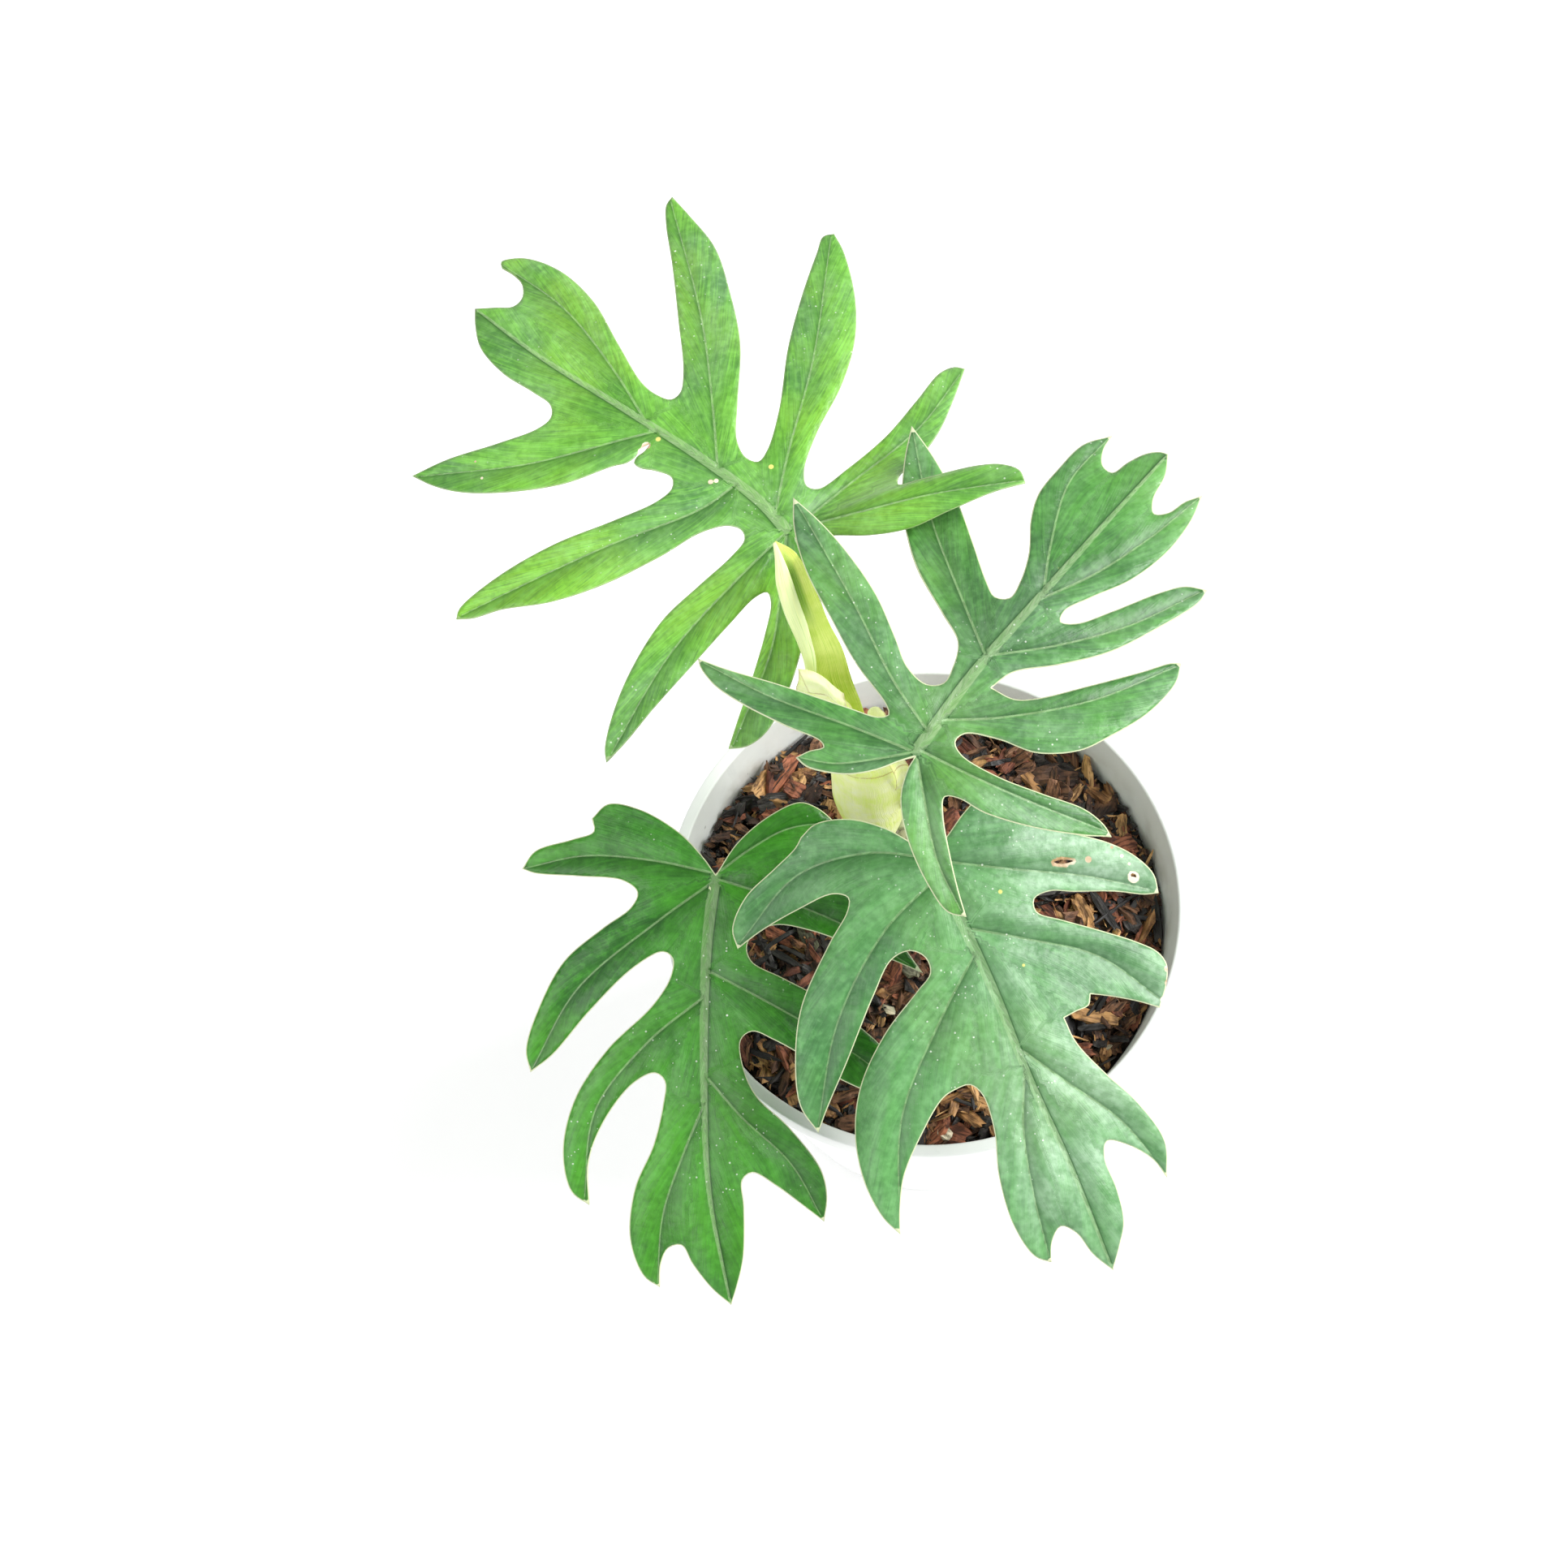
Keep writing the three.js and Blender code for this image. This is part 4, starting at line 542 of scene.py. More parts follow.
def rod(bm, route, radii, sides=12, step=3, material=0, flat=1.0):
    """A round rod along a smooth line, pinched shut at both ends. radii are (share along, radius)."""
    line = smooth_line(route, step)
    ways = np.gradient(line, axis=0)
    ways /= np.linalg.norm(ways, axis=1, keepdims=True)
    side = np.cross(ways[0], (0, 0.31, 0.95) if abs(ways[0][2]) < 0.9 else (1, 0.2, 0))
    sides_of = []
    for way in ways:
        side = side - way * (side @ way)
        side /= np.linalg.norm(side)
        sides_of.append(side)
    sides_of = np.array(sides_of)

    made, around, share = grid(bm, sides, len(line) - 1)
    index = np.round(share * (len(line) - 1)).astype(int)
    size = np.interp(share, *np.array(radii, float).T)
    size = np.where((index == 0) | (index == len(line) - 1), 0, size)[:, None]
    turn = (around * 2 * np.pi)[:, None]
    other = np.cross(ways[index], sides_of[index])
    points = line[index] + size * (np.cos(turn) * sides_of[index] + flat * np.sin(turn) * other)
    for vert, point in zip(made, points):
        vert.co = point
    for face in {face for vert in made for face in vert.link_faces}:
        face.material_index = material
    bmesh.ops.remove_doubles(bm, verts=made, dist=1e-4)


def pot_inside(z):
    """The radius of the pot's inner face at a height."""
    bottom = BASE_RADIUS - WALL
    return bottom + (RIM_RADIUS - RING_WIDTH - bottom) * (z - FLOOR) / (RIM_HEIGHT - FLOOR)


def mix_top(x, y):
    """The height of the mix."""
    r = np.hypot(x, y) / pot_inside(MIX_LEVEL)
    bumps = np.sin(x / 7 + 1) * np.cos(y / 6) + 0.6 * np.sin(x / 3.7 - y / 4.6)
    return MIX_LEVEL + MIX_CROWN * (1 - r * r) + MIX_BUMP * bumps


# Materials

def node(tree, kind, inputs=None, **settings):
    """Adds a node. An input is given as a value, or as the socket that feeds it."""
    made = tree.nodes.new("ShaderNode" + kind)
    for name, value in settings.items():
        setattr(made, name, value)
    for name, value in (inputs or {}).items():
        socket = made.inputs[name]
        if isinstance(value, bpy.types.NodeSocket):
            tree.links.new(value, socket)
        elif socket.type == "RGBA":
            socket.default_value = (*value, 1)
        else:
            socket.default_value = value
    return made


def maths(tree, what, *values):
    return node(tree, "Math", dict(enumerate(values)), operation=what).outputs[0]


def times(tree, first, *others):
    """Numbers multiplied together."""
    for other in others:
        first = maths(tree, "MULTIPLY", first, other)
    return first


def between(tree, value, low, high, at_low=0.0, at_high=1.0):
    """A smooth change from one value to another while the input goes from low to high."""
    ends = {0: value, 1: low, 2: high, 3: at_low, 4: at_high}
    return node(tree, "MapRange", ends, interpolation_type="SMOOTHSTEP").outputs[0]


def blend(tree, share, first, second):
    """Two colours mixed: the share is that of the second."""
    return node(tree, "Mix", {0: share, 6: first, 7: second}, data_type="RGBA").outputs[2]


def tint(tree, colours, colour, value, *ends):
    """Colours with another laid over them, by a share that changes smoothly with a value."""
    return blend(tree, between(tree, value, *ends), colours, colour)


def carried(tree, name, what="Fac"):
    """What the mesh carries under a name, as a number or a vector."""
    return node(tree, "Attribute", attribute_name=name, attribute_type="GEOMETRY").outputs[what]


def noise_of(tree, vector, size, detail=3.0, seed=0.0, stretch=(1, 1, 1)):
    """Noise from 0 to 1 with bumps of a size in metres; stretch makes them longer each way."""
    moved = node(tree, "Mapping", {"Vector": vector, "Location": (seed, seed, seed), "Scale": stretch})
    given = {"Vector": moved.outputs[0], "Scale": 0.5 / size, "Detail": detail}
    return node(tree, "TexNoise", given).outputs[0]


def effect(name, inputs, output):
    """A shader node group: the kind of each named input, and the name and kind of its output."""
    tree = bpy.data.node_groups.new(name, "ShaderNodeTree")
    for title, kind in inputs.items():
        tree.interface.new_socket(title, in_out="INPUT", socket_type="NodeSocket" + kind)
    title, kind = output
    tree.interface.new_socket(title, in_out="OUTPUT", socket_type="NodeSocket" + kind)
    return tree, tree.nodes.new("NodeGroupInput").outputs, tree.nodes.new("NodeGroupOutput").inputs


def mottle_effect():
    """Patches of two colours, at two sizes."""
    tree, given, result = effect(
        "mottle",
        {"Place": "Vector", "Dark": "Color", "Light": "Color", "Scale": "Float", "Contrast": "Float"},
        ("Colour", "Color"),
    )
    finer = times(tree, given["Scale"], 5.3)
    coarse = node(tree, "TexNoise", {"Vector": given["Place"], "Scale": given["Scale"], "Detail": 3.0})
    fine = node(tree, "TexNoise", {"Vector": given["Place"], "Scale": finer, "Detail": 4.0})
    both = maths(tree, "ADD", times(tree, coarse.outputs[0], 0.65), times(tree, fine.outputs[0], 0.35))
    steep = times(tree, maths(tree, "SUBTRACT", both, 0.5), given["Contrast"])
    colours = tint(tree, given["Dark"], given["Light"], steep, -0.18, 0.18)
    tree.links.new(colours, result["Colour"])
    return tree


def speck_effect():
    """Small scattered spots of uneven size."""
    tree, given, result = effect(
        "specks",
        {"Place": "Vector", "Scale": "Float", "Size": "Float", "Share": "Float"},
        ("Mask", "Float"),
    )
    cells = node(tree, "TexVoronoi", {"Vector": given["Place"], "Scale": given["Scale"]})
    chance = node(tree, "SeparateColor", {0: cells.outputs["Color"]}).outputs
    chosen = maths(tree, "LESS_THAN", chance[0], given["Share"])
    size = times(tree, given["Size"], maths(tree, "ADD", chance[1], 0.25))
    edge = times(tree, size, 0.6)
    spot = node(tree, "MapRange", {0: cells.outputs["Distance"], 1: edge, 2: size, 3: 1.0, 4: 0.0})
    tree.links.new(times(tree, spot.outputs[0], chosen), result["Mask"])
    return tree


def streak_effect():
    """Fine lines that run side by side, from 0 to 1."""
    tree, given, result = effect(
        "streaks",
        {"Place": "Vector", "Along": "Float", "Scale": "Float"},
        ("Lines", "Float"),
    )
    stretch = node(tree, "CombineXYZ", {0: given["Along"], 1: 1.0, 2: 1.0})
    place = node(tree, "VectorMath", {0: given["Place"], 1: stretch.outputs[0]}, operation="MULTIPLY")
    lines = node(tree, "TexNoise", {"Vector": place.outputs[0], "Scale": given["Scale"], "Detail": 2.0})
    tree.links.new(lines.outputs[0], result["Lines"])
    return tree


# Colours that lie over the greens of a blade
# A pale bloom that is partly painted sheen
BLOOM_AND_SHEEN = (0.60, 0.78, 0.62)
VEIN_DULL = (0.24, 0.42, 0.16)
VEIN_PALE = (0.46, 0.62, 0.34)
MARGIN_PALE = (0.74, 0.78, 0.50)
DUST = (0.86, 0.90, 0.82)
YELLOW_SPOT = (0.80, 0.72, 0.18)
YELLOWED = (0.78, 0.70, 0.20)
SCAR_BROWN = (0.42, 0.26, 0.12)
SCAR_PALE = (0.84, 0.76, 0.60)

MOTTLE = mottle_effect()
SPECKS = speck_effect()
STREAKS = streak_effect()


def mottle(tree, place, dark, light, scale, contrast=1.0):
    given = {"Place": place, "Dark": dark, "Light": light, "Scale": scale, "Contrast": contrast}
    return node(tree, "Group", given, node_tree=MOTTLE).outputs[0]


def specks(tree, place, scale, size, share):
    given = {"Place": place, "Scale": scale, "Size": size, "Share": share}
    return node(tree, "Group", given, node_tree=SPECKS).outputs[0]


def streaks(tree, place, along, scale):
    given = {"Place": place, "Along": along, "Scale": scale}
    return node(tree, "Group", given, node_tree=STREAKS).outputs[0]


def lengthwise(tree, along_scale, across_scale):
    """Shares across and along a thin sheet, and fine lines that run along it."""
    across, along = carried(tree, "across"), carried(tree, "along")
    pattern = node(tree, "CombineXYZ", {0: along, 1: across}).outputs[0]
    fine = node(tree, "Mapping", {"Vector": pattern, "Scale": (along_scale, across_scale, 1)}).outputs[0]
    return across, along, node(tree, "TexNoise", {"Vector": fine, "Scale": 1.0, "Detail": 3.0}).outputs[0]


def bump(tree, height, distance, strength=1.0, after=None):
    given = {"Height": height, "Distance": distance, "Strength": strength}
    if after is not None:
        given["Normal"] = after
    return node(tree, "Bump", given).outputs[0]


def new_material(name):
    """A material whose nodes are still to come, its tree, and the places that its patterns follow."""
    material = bpy.data.materials.new(name)
    material.use_nodes = True
    tree = material.node_tree
    tree.nodes.clear()
    return material, tree, node(tree, "TexCoord").outputs["Object"]


def surface(material, settings, through=0):
    """Ends a material: a Principled BSDF, and the share of light that comes through thin tissue."""
    tree = material.node_tree
    shader = node(tree, "BsdfPrincipled", settings).outputs[0]
    if through:
        glow = node(tree, "BsdfTranslucent", {"Color": settings["Base Color"], "Normal": settings["Normal"]})
        shader = node(tree, "MixShader", {0: through, 1: shader, 2: glow.outputs[0]}).outputs[0]
    node(tree, "OutputMaterial", {0: shader})
    return material


def leaf_tissue(tree, place, grain, shade, looks):
    """The greens of a blade and the finest lines in them, which run with its side veins."""
    flow = carried(tree, "flow", "Vector")
    fresh = looks["fresh"]
    pale = tuple(1.45 * c + 0.02 for c in fresh)
    yellow = (1.7 * fresh[0], 1.2 * fresh[1], 0.6 * fresh[2])
    warm = noise_of(tree, place, 0.024, 2.0, 2.0)
    greens = mottle(tree, place, looks["deep"], fresh, 26.0)
    greens = tint(tree, greens, yellow, warm, 0.50, 0.66, 0.0, looks["warmth"])
    for scale, stretch, low, high, share, colour in (
        (0.36, 0.12, 0.50, 0.74, 0.30, pale),
        (0.80, 0.08, 0.50, 0.74, 0.30, shade),
        (1.60, 0.05, 0.42, 0.70, looks["lines"], pale),
        (3.00, 0.05, 0.48, 0.70, looks["lines"], shade),
    ):
        lines = streaks(tree, flow, stretch, scale)
        greens = tint(tree, greens, colour, lines, low, high, 0.0, share)
    greens = tint(tree, greens, shade, grain, 0.34, 0.50, 0.20, 0.0)
    return tint(tree, greens, pale, grain, 0.52, 0.70, 0.0, 0.25), lines


def leaf_bloom_and_sheen(tree, place, greens, haze, banks, grain, looks):
    """The greens under a pale bloom and painted sheen, in streaks and banks, which grows toward +x as a
    painted highlight on the side the light comes from.
    """
    reach = node(tree, "SeparateXYZ", {"Vector": place}).outputs["X"]
    # Painted sheen: the bloom is paler toward +x, where the light comes from
    bloom_and_sheen = times(
        tree,
        between(tree, haze, 0.30, 0.66, 0.5, 1.0),
        between(tree, banks, 0.38, 0.58, 0.4, 1.0),
        between(tree, grain, 0.40, 0.60, 0.7, 1.0),
        between(tree, reach, *looks["painted_sheen_from"], 0.15, 1.0),
        looks["bloom_and_sheen"],
    )
    return blend(tree, bloom_and_sheen, greens, BLOOM_AND_SHEEN)


def leaf_veins(tree, greens, lines, shade, looks):
    """The greens with pale veins, painted shade beside each vein and over one half of each lobe near it, and
    a pale margin.
    """
    vein, rib, edge = (carried(tree, name) for name in ("vein", "rib", "edge"))
    around = node(tree, "SeparateXYZ", {"Vector": carried(tree, "flow", "Vector")}).outputs["Z"]
    half = FLOW_APART / 2
    shaded_half = maths(tree, "MODULO", maths(tree, "ADD", around, half), FLOW_APART)
    shaded_half = between(tree, shaded_half, half - 0.3, half + 0.3)
    uneven = maths(tree, "ADD", times(tree, shaded_half, 0.7), 0.3)
    # Painted shade: darker beside each vein and more on one side of it, and one half of each lobe darker near
    # its vein
    greens = blend(tree, times(tree, between(tree, vein, 0.0, 1.1, 0.45, 0.0), uneven), greens, shade)
    greens = blend(tree, times(tree, shaded_half, between(tree, vein, 0.5, 8.0, 0.35, 0.0)), greens, shade)
    pale_share = maths(
        tree,
        "MAXIMUM",
        between(tree, rib, 0.3, -1.3, 0.0, 0.7 * looks["veins"]),
        between(tree, vein, 0.12, -0.12, 0.0, looks["veins"]),
    )
    pale = tint(tree, VEIN_DULL, VEIN_PALE, lines, 0.35, 0.65)
    greens = blend(tree, pale_share, greens, pale)
    # Painted shade: a dark line along one side of the midrib
    rib_line = between(tree, maths(tree, "ABSOLUTE", rib), 0.0, 0.30, 0.8, 0.0)
    greens = blend(tree, times(tree, rib_line, shaded_half), greens, shade)
    return tint(tree, greens, MARGIN_PALE, edge, 0.36, 0.16, 0.0, looks["margin"])


def leaf_dust(tree, place, banks):
    """Where dust and grit lie on a blade."""
    grit = times(tree, specks(tree, place, 330.0, 0.11, 0.16), 0.8)
    dust = times(tree, specks(tree, place, 1100.0, 0.3, 0.12), 0.5)
    return times(tree, maths(tree, "MAXIMUM", grit, dust), between(tree, banks, 0.48, 0.60))


def leaf_marks(tree, place, greens, haze):
    """The greens with small yellow spots, dried scars and the yellowed marks that the mesh carries."""
    spots = specks(tree, place, 62.0, 0.055, 0.10)
    greens = blend(tree, times(tree, spots, 0.8), greens, YELLOW_SPOT)
    dried = tint(tree, SCAR_BROWN, SCAR_PALE, haze, 0.35, 0.65)
    greens = tint(tree, greens, dried, carried(tree, "scar"), 0.25, 0.6)
    return tint(tree, greens, YELLOWED, carried(tree, "spot"), 0.2, 0.7, 0.0, 0.85)


def leaf_finish(name, looks):
    """The upper face of a blade, from its tissue up to its dust and scars."""
    material, tree, place = new_material(name)
    shade = tuple(0.5 * c for c in looks["deep"])
    haze = streaks(tree, carried(tree, "flow", "Vector"), 0.22, 0.30)
    banks = noise_of(tree, place, 0.020, 3.0, 6.0)
    grain = noise_of(tree, place, 0.0010, 5.0, 9.0)
    greens, lines = leaf_tissue(tree, place, grain, shade, looks)
    greens = leaf_bloom_and_sheen(tree, place, greens, haze, banks, grain, looks)
    greens = leaf_veins(tree, greens, lines, shade, looks)
    dust = leaf_dust(tree, place, banks)
    greens = blend(tree, dust, greens, DUST)
    greens = leaf_marks(tree, place, greens, haze)

    gloss = maths(tree, "ADD", times(tree, haze, 0.20), 0.26)
    gloss = maths(tree, "ADD", gloss, times(tree, dust, 0.3))
    relief = bump(tree, lines, 0.00012, 0.6)
    relief = bump(tree, grain, 0.00030, 0.6, relief)
    relief = bump(tree, noise_of(tree, place, 0.0042, 3.0, 5.0), 0.0010, looks["crumple"], relief)
    shine = {"Coat Weight": 0.06, "Coat Roughness": 0.30, "IOR": 1.45}
    return surface(material, {"Base Color": greens, "Roughness": gloss, "Normal": relief, **shine}, 0.10)


def leaf_back_finish():
    """The underside: paler and duller, with the same veins."""
    material, tree, place = new_material("leaf_underside")
    lines = streaks(tree, carried(tree, "flow", "Vector"), 0.06, 0.9)
    greens = mottle(tree, place, (0.11, 0.27, 0.09), (0.20, 0.40, 0.14), 45.0)
    greens = tint(tree, greens, (0.10, 0.24, 0.08), lines, 0.4, 0.75, 0.0, 0.35)
    pale_share = maths(
        tree,
        "MAXIMUM",
        between(tree, carried(tree, "rib"), 0.8, -0.3, 0.0, 0.8),
        between(tree, carried(tree, "vein"), 0.3, -0.1, 0.0, 0.75),
    )
    greens = blend(tree, pale_share, greens, (0.42, 0.55, 0.26))
    relief = bump(tree, lines, 0.00015, 0.7)
    relief = bump(tree, noise_of(tree, place, 0.0008, 3.0, 2.0), 0.00008, 0.7, relief)
    return surface(material, {"Base Color": greens, "Roughness": 0.62, "Normal": relief}, 0.08)


def stalk_finish():
    """Petioles: smooth green rods with fine lengthwise lines and pale flecks."""
    material, tree, place = new_material("petiole")
    long = noise_of(tree, place, 0.0010, 3.0, 1.0, (1, 1, 0.06))
    greens = mottle(tree, place, (0.10, 0.24, 0.06), (0.24, 0.42, 0.14), 80.0, 1.2)
    greens = tint(tree, greens, (0.40, 0.52, 0.26), long, 0.4, 0.7, 0.0, 0.5)
    flecks = specks(tree, place, 500.0, 0.25, 0.2)
    greens = blend(tree, times(tree, flecks, 0.6), greens, (0.50, 0.50, 0.32))
    relief = bump(tree, long, 0.0003, 0.6)
    gloss = between(tree, long, 0.2, 0.8, 0.36, 0.55)
    return surface(material, {"Base Color": greens, "Roughness": gloss, "Normal": relief})


def young_finish():
    """The new leaf: waxy lime with faint parallel veins, a green streak, a paler rolled margin and a faint
    painted glow.
    """
    material, tree, place = new_material("new_leaf_lime")
    across, along, lines = lengthwise(tree, 5, 60)
    limes = mottle(tree, place, (0.50, 0.68, 0.05), (0.74, 0.84, 0.20), 60.0, 0.9)
    from_streak = maths(tree, "ABSOLUTE", maths(tree, "SUBTRACT", across, 0.66))
    upper = times(tree, between(tree, along, 0.55, 0.70), between(tree, along, 0.97, 0.80))
    streak = times(tree, between(tree, from_streak, 0.03, 0.15, 1.0, 0.0), upper, 0.9)
    limes = blend(tree, streak, limes, (0.20, 0.46, 0.02))
    limes = tint(tree, limes, (0.84, 0.92, 0.58), across, 0.50, 0.40, 0.0, 0.7)
    limes = tint(tree, limes, (0.86, 0.90, 0.34), lines, 0.45, 0.7, 0.0, 0.35)
    limes = tint(tree, limes, (0.40, 0.62, 0.08), lines, 0.48, 0.30, 0.0, 0.55)
    relief = bump(tree, lines, 0.0002, 0.5)
    gloss = between(tree, lines, 0.3, 0.7, 0.26, 0.42)
    # Painted glow: a faint emission in the leaf's own colours stands in for light that comes through it
    wax_and_glow = {"Coat Weight": 0.2, "Coat Roughness": 0.25, "Emission Color": limes, "Emission Strength": 0.03}
    return surface(material, {"Base Color": limes, "Roughness": gloss, "Normal": relief, **wax_and_glow}, 0.12)


def sheath_finish():
    """The sheath: thin, pale and half clear, with fine lengthwise lines, browned torn edges and a painted
    glow that lifts it from the leaves' shade.
    """
    material, tree, place = new_material("sheath_pale")
    across, along, lines = lengthwise(tree, 3, 70)
    pales = mottle(tree, place, (0.78, 0.90, 0.20), (0.96, 0.98, 0.66), 70.0)
    top = times(tree, between(tree, along, 0.72, 0.95), 0.5)
    pales = blend(tree, top, pales, (0.80, 0.88, 0.46))
    pales = tint(tree, pales, (0.92, 0.95, 0.70), lines, 0.42, 0.68, 0.0, 0.4)
    crease = maths(tree, "SUBTRACT", along, maths(tree, "ADD", 0.40, times(tree, lines, 0.02)))
    pales = tint(tree, pales, (0.56, 0.44, 0.14), maths(tree, "ABSOLUTE", crease), 0.0, 0.011, 0.8, 0.0)
    pales = tint(tree, pales, (0.52, 0.36, 0.16), carried(tree, "rim"), 0.45, 0.05, 0.0, 0.5)
    relief = bump(tree, lines, 0.0003, 0.6)
    relief = bump(tree, noise_of(tree, place, 0.004, 2.0, 4.0), 0.0008, 0.5, relief)
    gloss = between(tree, lines, 0.3, 0.7, 0.30, 0.48)
    # Painted glow: an emission in the sheath's own colours brightens it where the leaves shade it
    wax_and_glow = {"Coat Weight": 0.15, "Coat Roughness": 0.3, "Emission Color": pales, "Emission Strength": 0.14}
    return surface(material, {"Base Color": pales, "Roughness": gloss, "Normal": relief, **wax_and_glow}, 0.12)


def stem_finish():
    """Old stem: grey-green and brown cork with lengthwise cracks and pale scales."""
    material, tree, place = new_material("stem_cork")
    cracks = noise_of(tree, place, 0.0012, 5.0, 6.0, (1, 1, 0.22))
    corks = mottle(tree, place, (0.10, 0.085, 0.045), (0.30, 0.30, 0.16), 110.0, 1.6)
    corks = tint(tree, corks, (0.035, 0.026, 0.016), cracks, 0.42, 0.62, 0.75, 0.0)
    scales = specks(tree, place, 420.0, 0.3, 0.25)
    corks = blend(tree, times(tree, scales, 0.6), corks, (0.46, 0.42, 0.32))
    gloss = between(tree, cracks, 0.3, 0.7, 0.9, 0.66)
    relief = bump(tree, cracks, 0.0010, 0.9)
    return surface(material, {"Base Color": corks, "Roughness": gloss, "Normal": relief})


def bark_finish(name, dark, light, gloss=0.85):
    """Split bark and wood: grain along each piece, every piece with a tone of its own."""
    material, tree, place = new_material(name)
    grain = carried(tree, "grain", "Vector")
    fibres = streaks(tree, grain, 0.16, 1.1)
    blotch = node(tree, "TexNoise", {"Vector": grain, "Scale": 0.22, "Detail": 4.0}).outputs[0]
    pale = tuple(min(1, 0.75 * (a + b)) for a, b in zip(dark, light))
    colour = blend(tree, carried(tree, "tone"), dark, light)
    colour = tint(tree, colour, tuple(0.28 * c for c in dark), fibres, 0.36, 0.60, 0.85, 0.0)
    colour = tint(tree, colour, pale, blotch, 0.50, 0.72, 0.0, 0.6)
    colour = tint(tree, colour, tuple(0.3 * c for c in dark), blotch, 0.48, 0.30, 0.0, 0.7)
    relief = bump(tree, fibres, 0.0006, 0.9)
    relief = bump(tree, noise_of(tree, place, 0.0006), 0.0003, 0.7, relief)
    gloss = between(tree, fibres, 0.3, 0.7, gloss, gloss - 0.2)
    return surface(material, {"Base Color": colour, "Roughness": gloss, "Normal": relief})


def crumb_finish():
    """The fine mix between the chips: dark brown, partly its own colour and partly painted shade of the gaps,
    and darkest in the grooves between crumbs as painted shade.
    """
    material, tree, place = new_material("mix_crumb")
    browns = mottle(tree, place, (0.010, 0.007, 0.005), (0.075, 0.042, 0.024), 260.0, 1.6)
    crumbs = node(tree, "TexVoronoi", {"Vector": place, "Scale": 700.0}).outputs["Distance"]
    # Painted shade: darker toward the edge of each crumb, in the grooves between them
    browns = tint(tree, browns, (0.008, 0.006, 0.004), crumbs, 0.25, 0.6, 0.0, 0.8)
    relief = bump(tree, crumbs, 0.0012, -0.9)
    return surface(material, {"Base Color": browns, "Roughness": 0.92, "Normal": relief})


def pot_finish():
    """Thin white plastic: faint drawing lines from the mould, scuffs, and soil dust inside."""
    material, tree, place = new_material("pot_white")
    whites = mottle(tree, place, (0.76, 0.77, 0.765), (0.83, 0.84, 0.83), 26.0, 0.8)
    height = node(tree, "SeparateXYZ", {0: place}).outputs[2]
    low = between(tree, height, (RIM_HEIGHT - 3) * MM, (MIX_LEVEL - 1) * MM)
    near_mix = times(tree, carried(tree, "inner"), low)
    stain = between(tree, noise_of(tree, place, 0.006, 5.0, 2.0), 0.40, 0.68, 0.0, 0.6)
    whites = blend(tree, times(tree, near_mix, stain), whites, (0.30, 0.26, 0.20))
    crumbs = specks(tree, place, 260.0, 0.16, 0.16)
    whites = blend(tree, times(tree, crumbs, near_mix), whites, (0.06, 0.045, 0.03))
    scuff = noise_of(tree, place, 0.002, 5.0, 7.0, (1, 1, 0.12))
    whites = tint(tree, whites, (0.55, 0.56, 0.56), scuff, 0.60, 0.78, 0.0, 0.22)
    rings = noise_of(tree, place, 0.0016, 2.0, 4.0, (0.02, 0.02, 1))
    relief = bump(tree, rings, 0.00025, 0.35)
    relief = bump(tree, noise_of(tree, place, 0.0009, 3.0, 9.0), 0.00008, 0.5, relief)
    gloss = between(tree, scuff, 0.35, 0.75, 0.30, 0.52)
    return surface(material, {"Base Color": whites, "Roughness": gloss, "Normal": relief, "IOR": 1.5})


def floor_finish():
    """The white ground that the pot stands on, a little bright of itself."""
    material, tree, place = new_material("floor_white")
    whites = mottle(tree, place, (0.83, 0.83, 0.83), (0.86, 0.86, 0.86), 3.0)
    glow = {"Emission Color": whites, "Emission Strength": 0.12}
    return surface(material, {"Base Color": whites, "Roughness": 0.8, **glow})


# The leaves

def margin_line(leaf):
    """The blade's margin as one closed line, whose last place isn't repeated."""
    runs = leaf["margin"]
    joined = [[before[-1], *run] for before, run in zip(runs[-1:] + runs, runs)]
    return np.vstack([smooth_line(run, MARGIN_STEP)[:-1] for run in joined])


def hole_lines(leaf):
    """The outline of each hole in the blade, closed."""
    return [smooth_line(hole + hole[:1], HOLE_STEP) for hole in leaf.get("holes", [])]


def marks_net(leaf):
    """Places for the net at the scars and spots, so that they come out round."""
    return np.array([
        (u + radius * share * math.cos(turn), v + radius * share * math.sin(turn))
        for u, v, radius in leaf.get("scars", []) + leaf.get("spots", [])
        for share in MARK_RINGS
        for turn in np.arange(0, 2 * math.pi, 2 * math.pi / MARK_SIDES)
    ])


def from_lines(lines, places):
    """How far each place is from the nearest of some lines."""
    return np.min([nearest(line, places)[0] for line in lines], axis=0)


def inner_places(margin, closed, veins):
    """Places for the net inside the blade: close rows beside each vein, and even rows elsewhere."""
    low, high = margin.min(0), margin.max(0)
    even = np.array([
        (x, low[1] + k * ROW_SHARE * LEAF_GRID)
        for k in range(int((high[1] - low[1]) / (ROW_SHARE * LEAF_GRID)))
        for x in np.arange(low[0] + (k % 2) * LEAF_GRID / 2, high[0], LEAF_GRID)
    ])
    beside = []
    for line in veins:
        way = np.gradient(line, axis=0)
        way /= np.linalg.norm(way, axis=1, keepdims=True)
        aside = way[:, ::-1] * (-1, 1)
        for far in BESIDE_VEIN:
            beside += [line + far * aside, line - far * aside]
    beside = thinned(np.vstack(beside), BESIDE_VEIN[0])
    beside = beside[from_lines(veins, beside) > 0.8 * BESIDE_VEIN[0]]
    even = even[from_lines(veins, even) > BESIDE_VEIN[1] + NET_CLEAR]
    places = np.vstack([beside, even])
    places = places[encloses(margin, places)]
    return places[nearest(closed, places)[0] > NET_CLEAR]


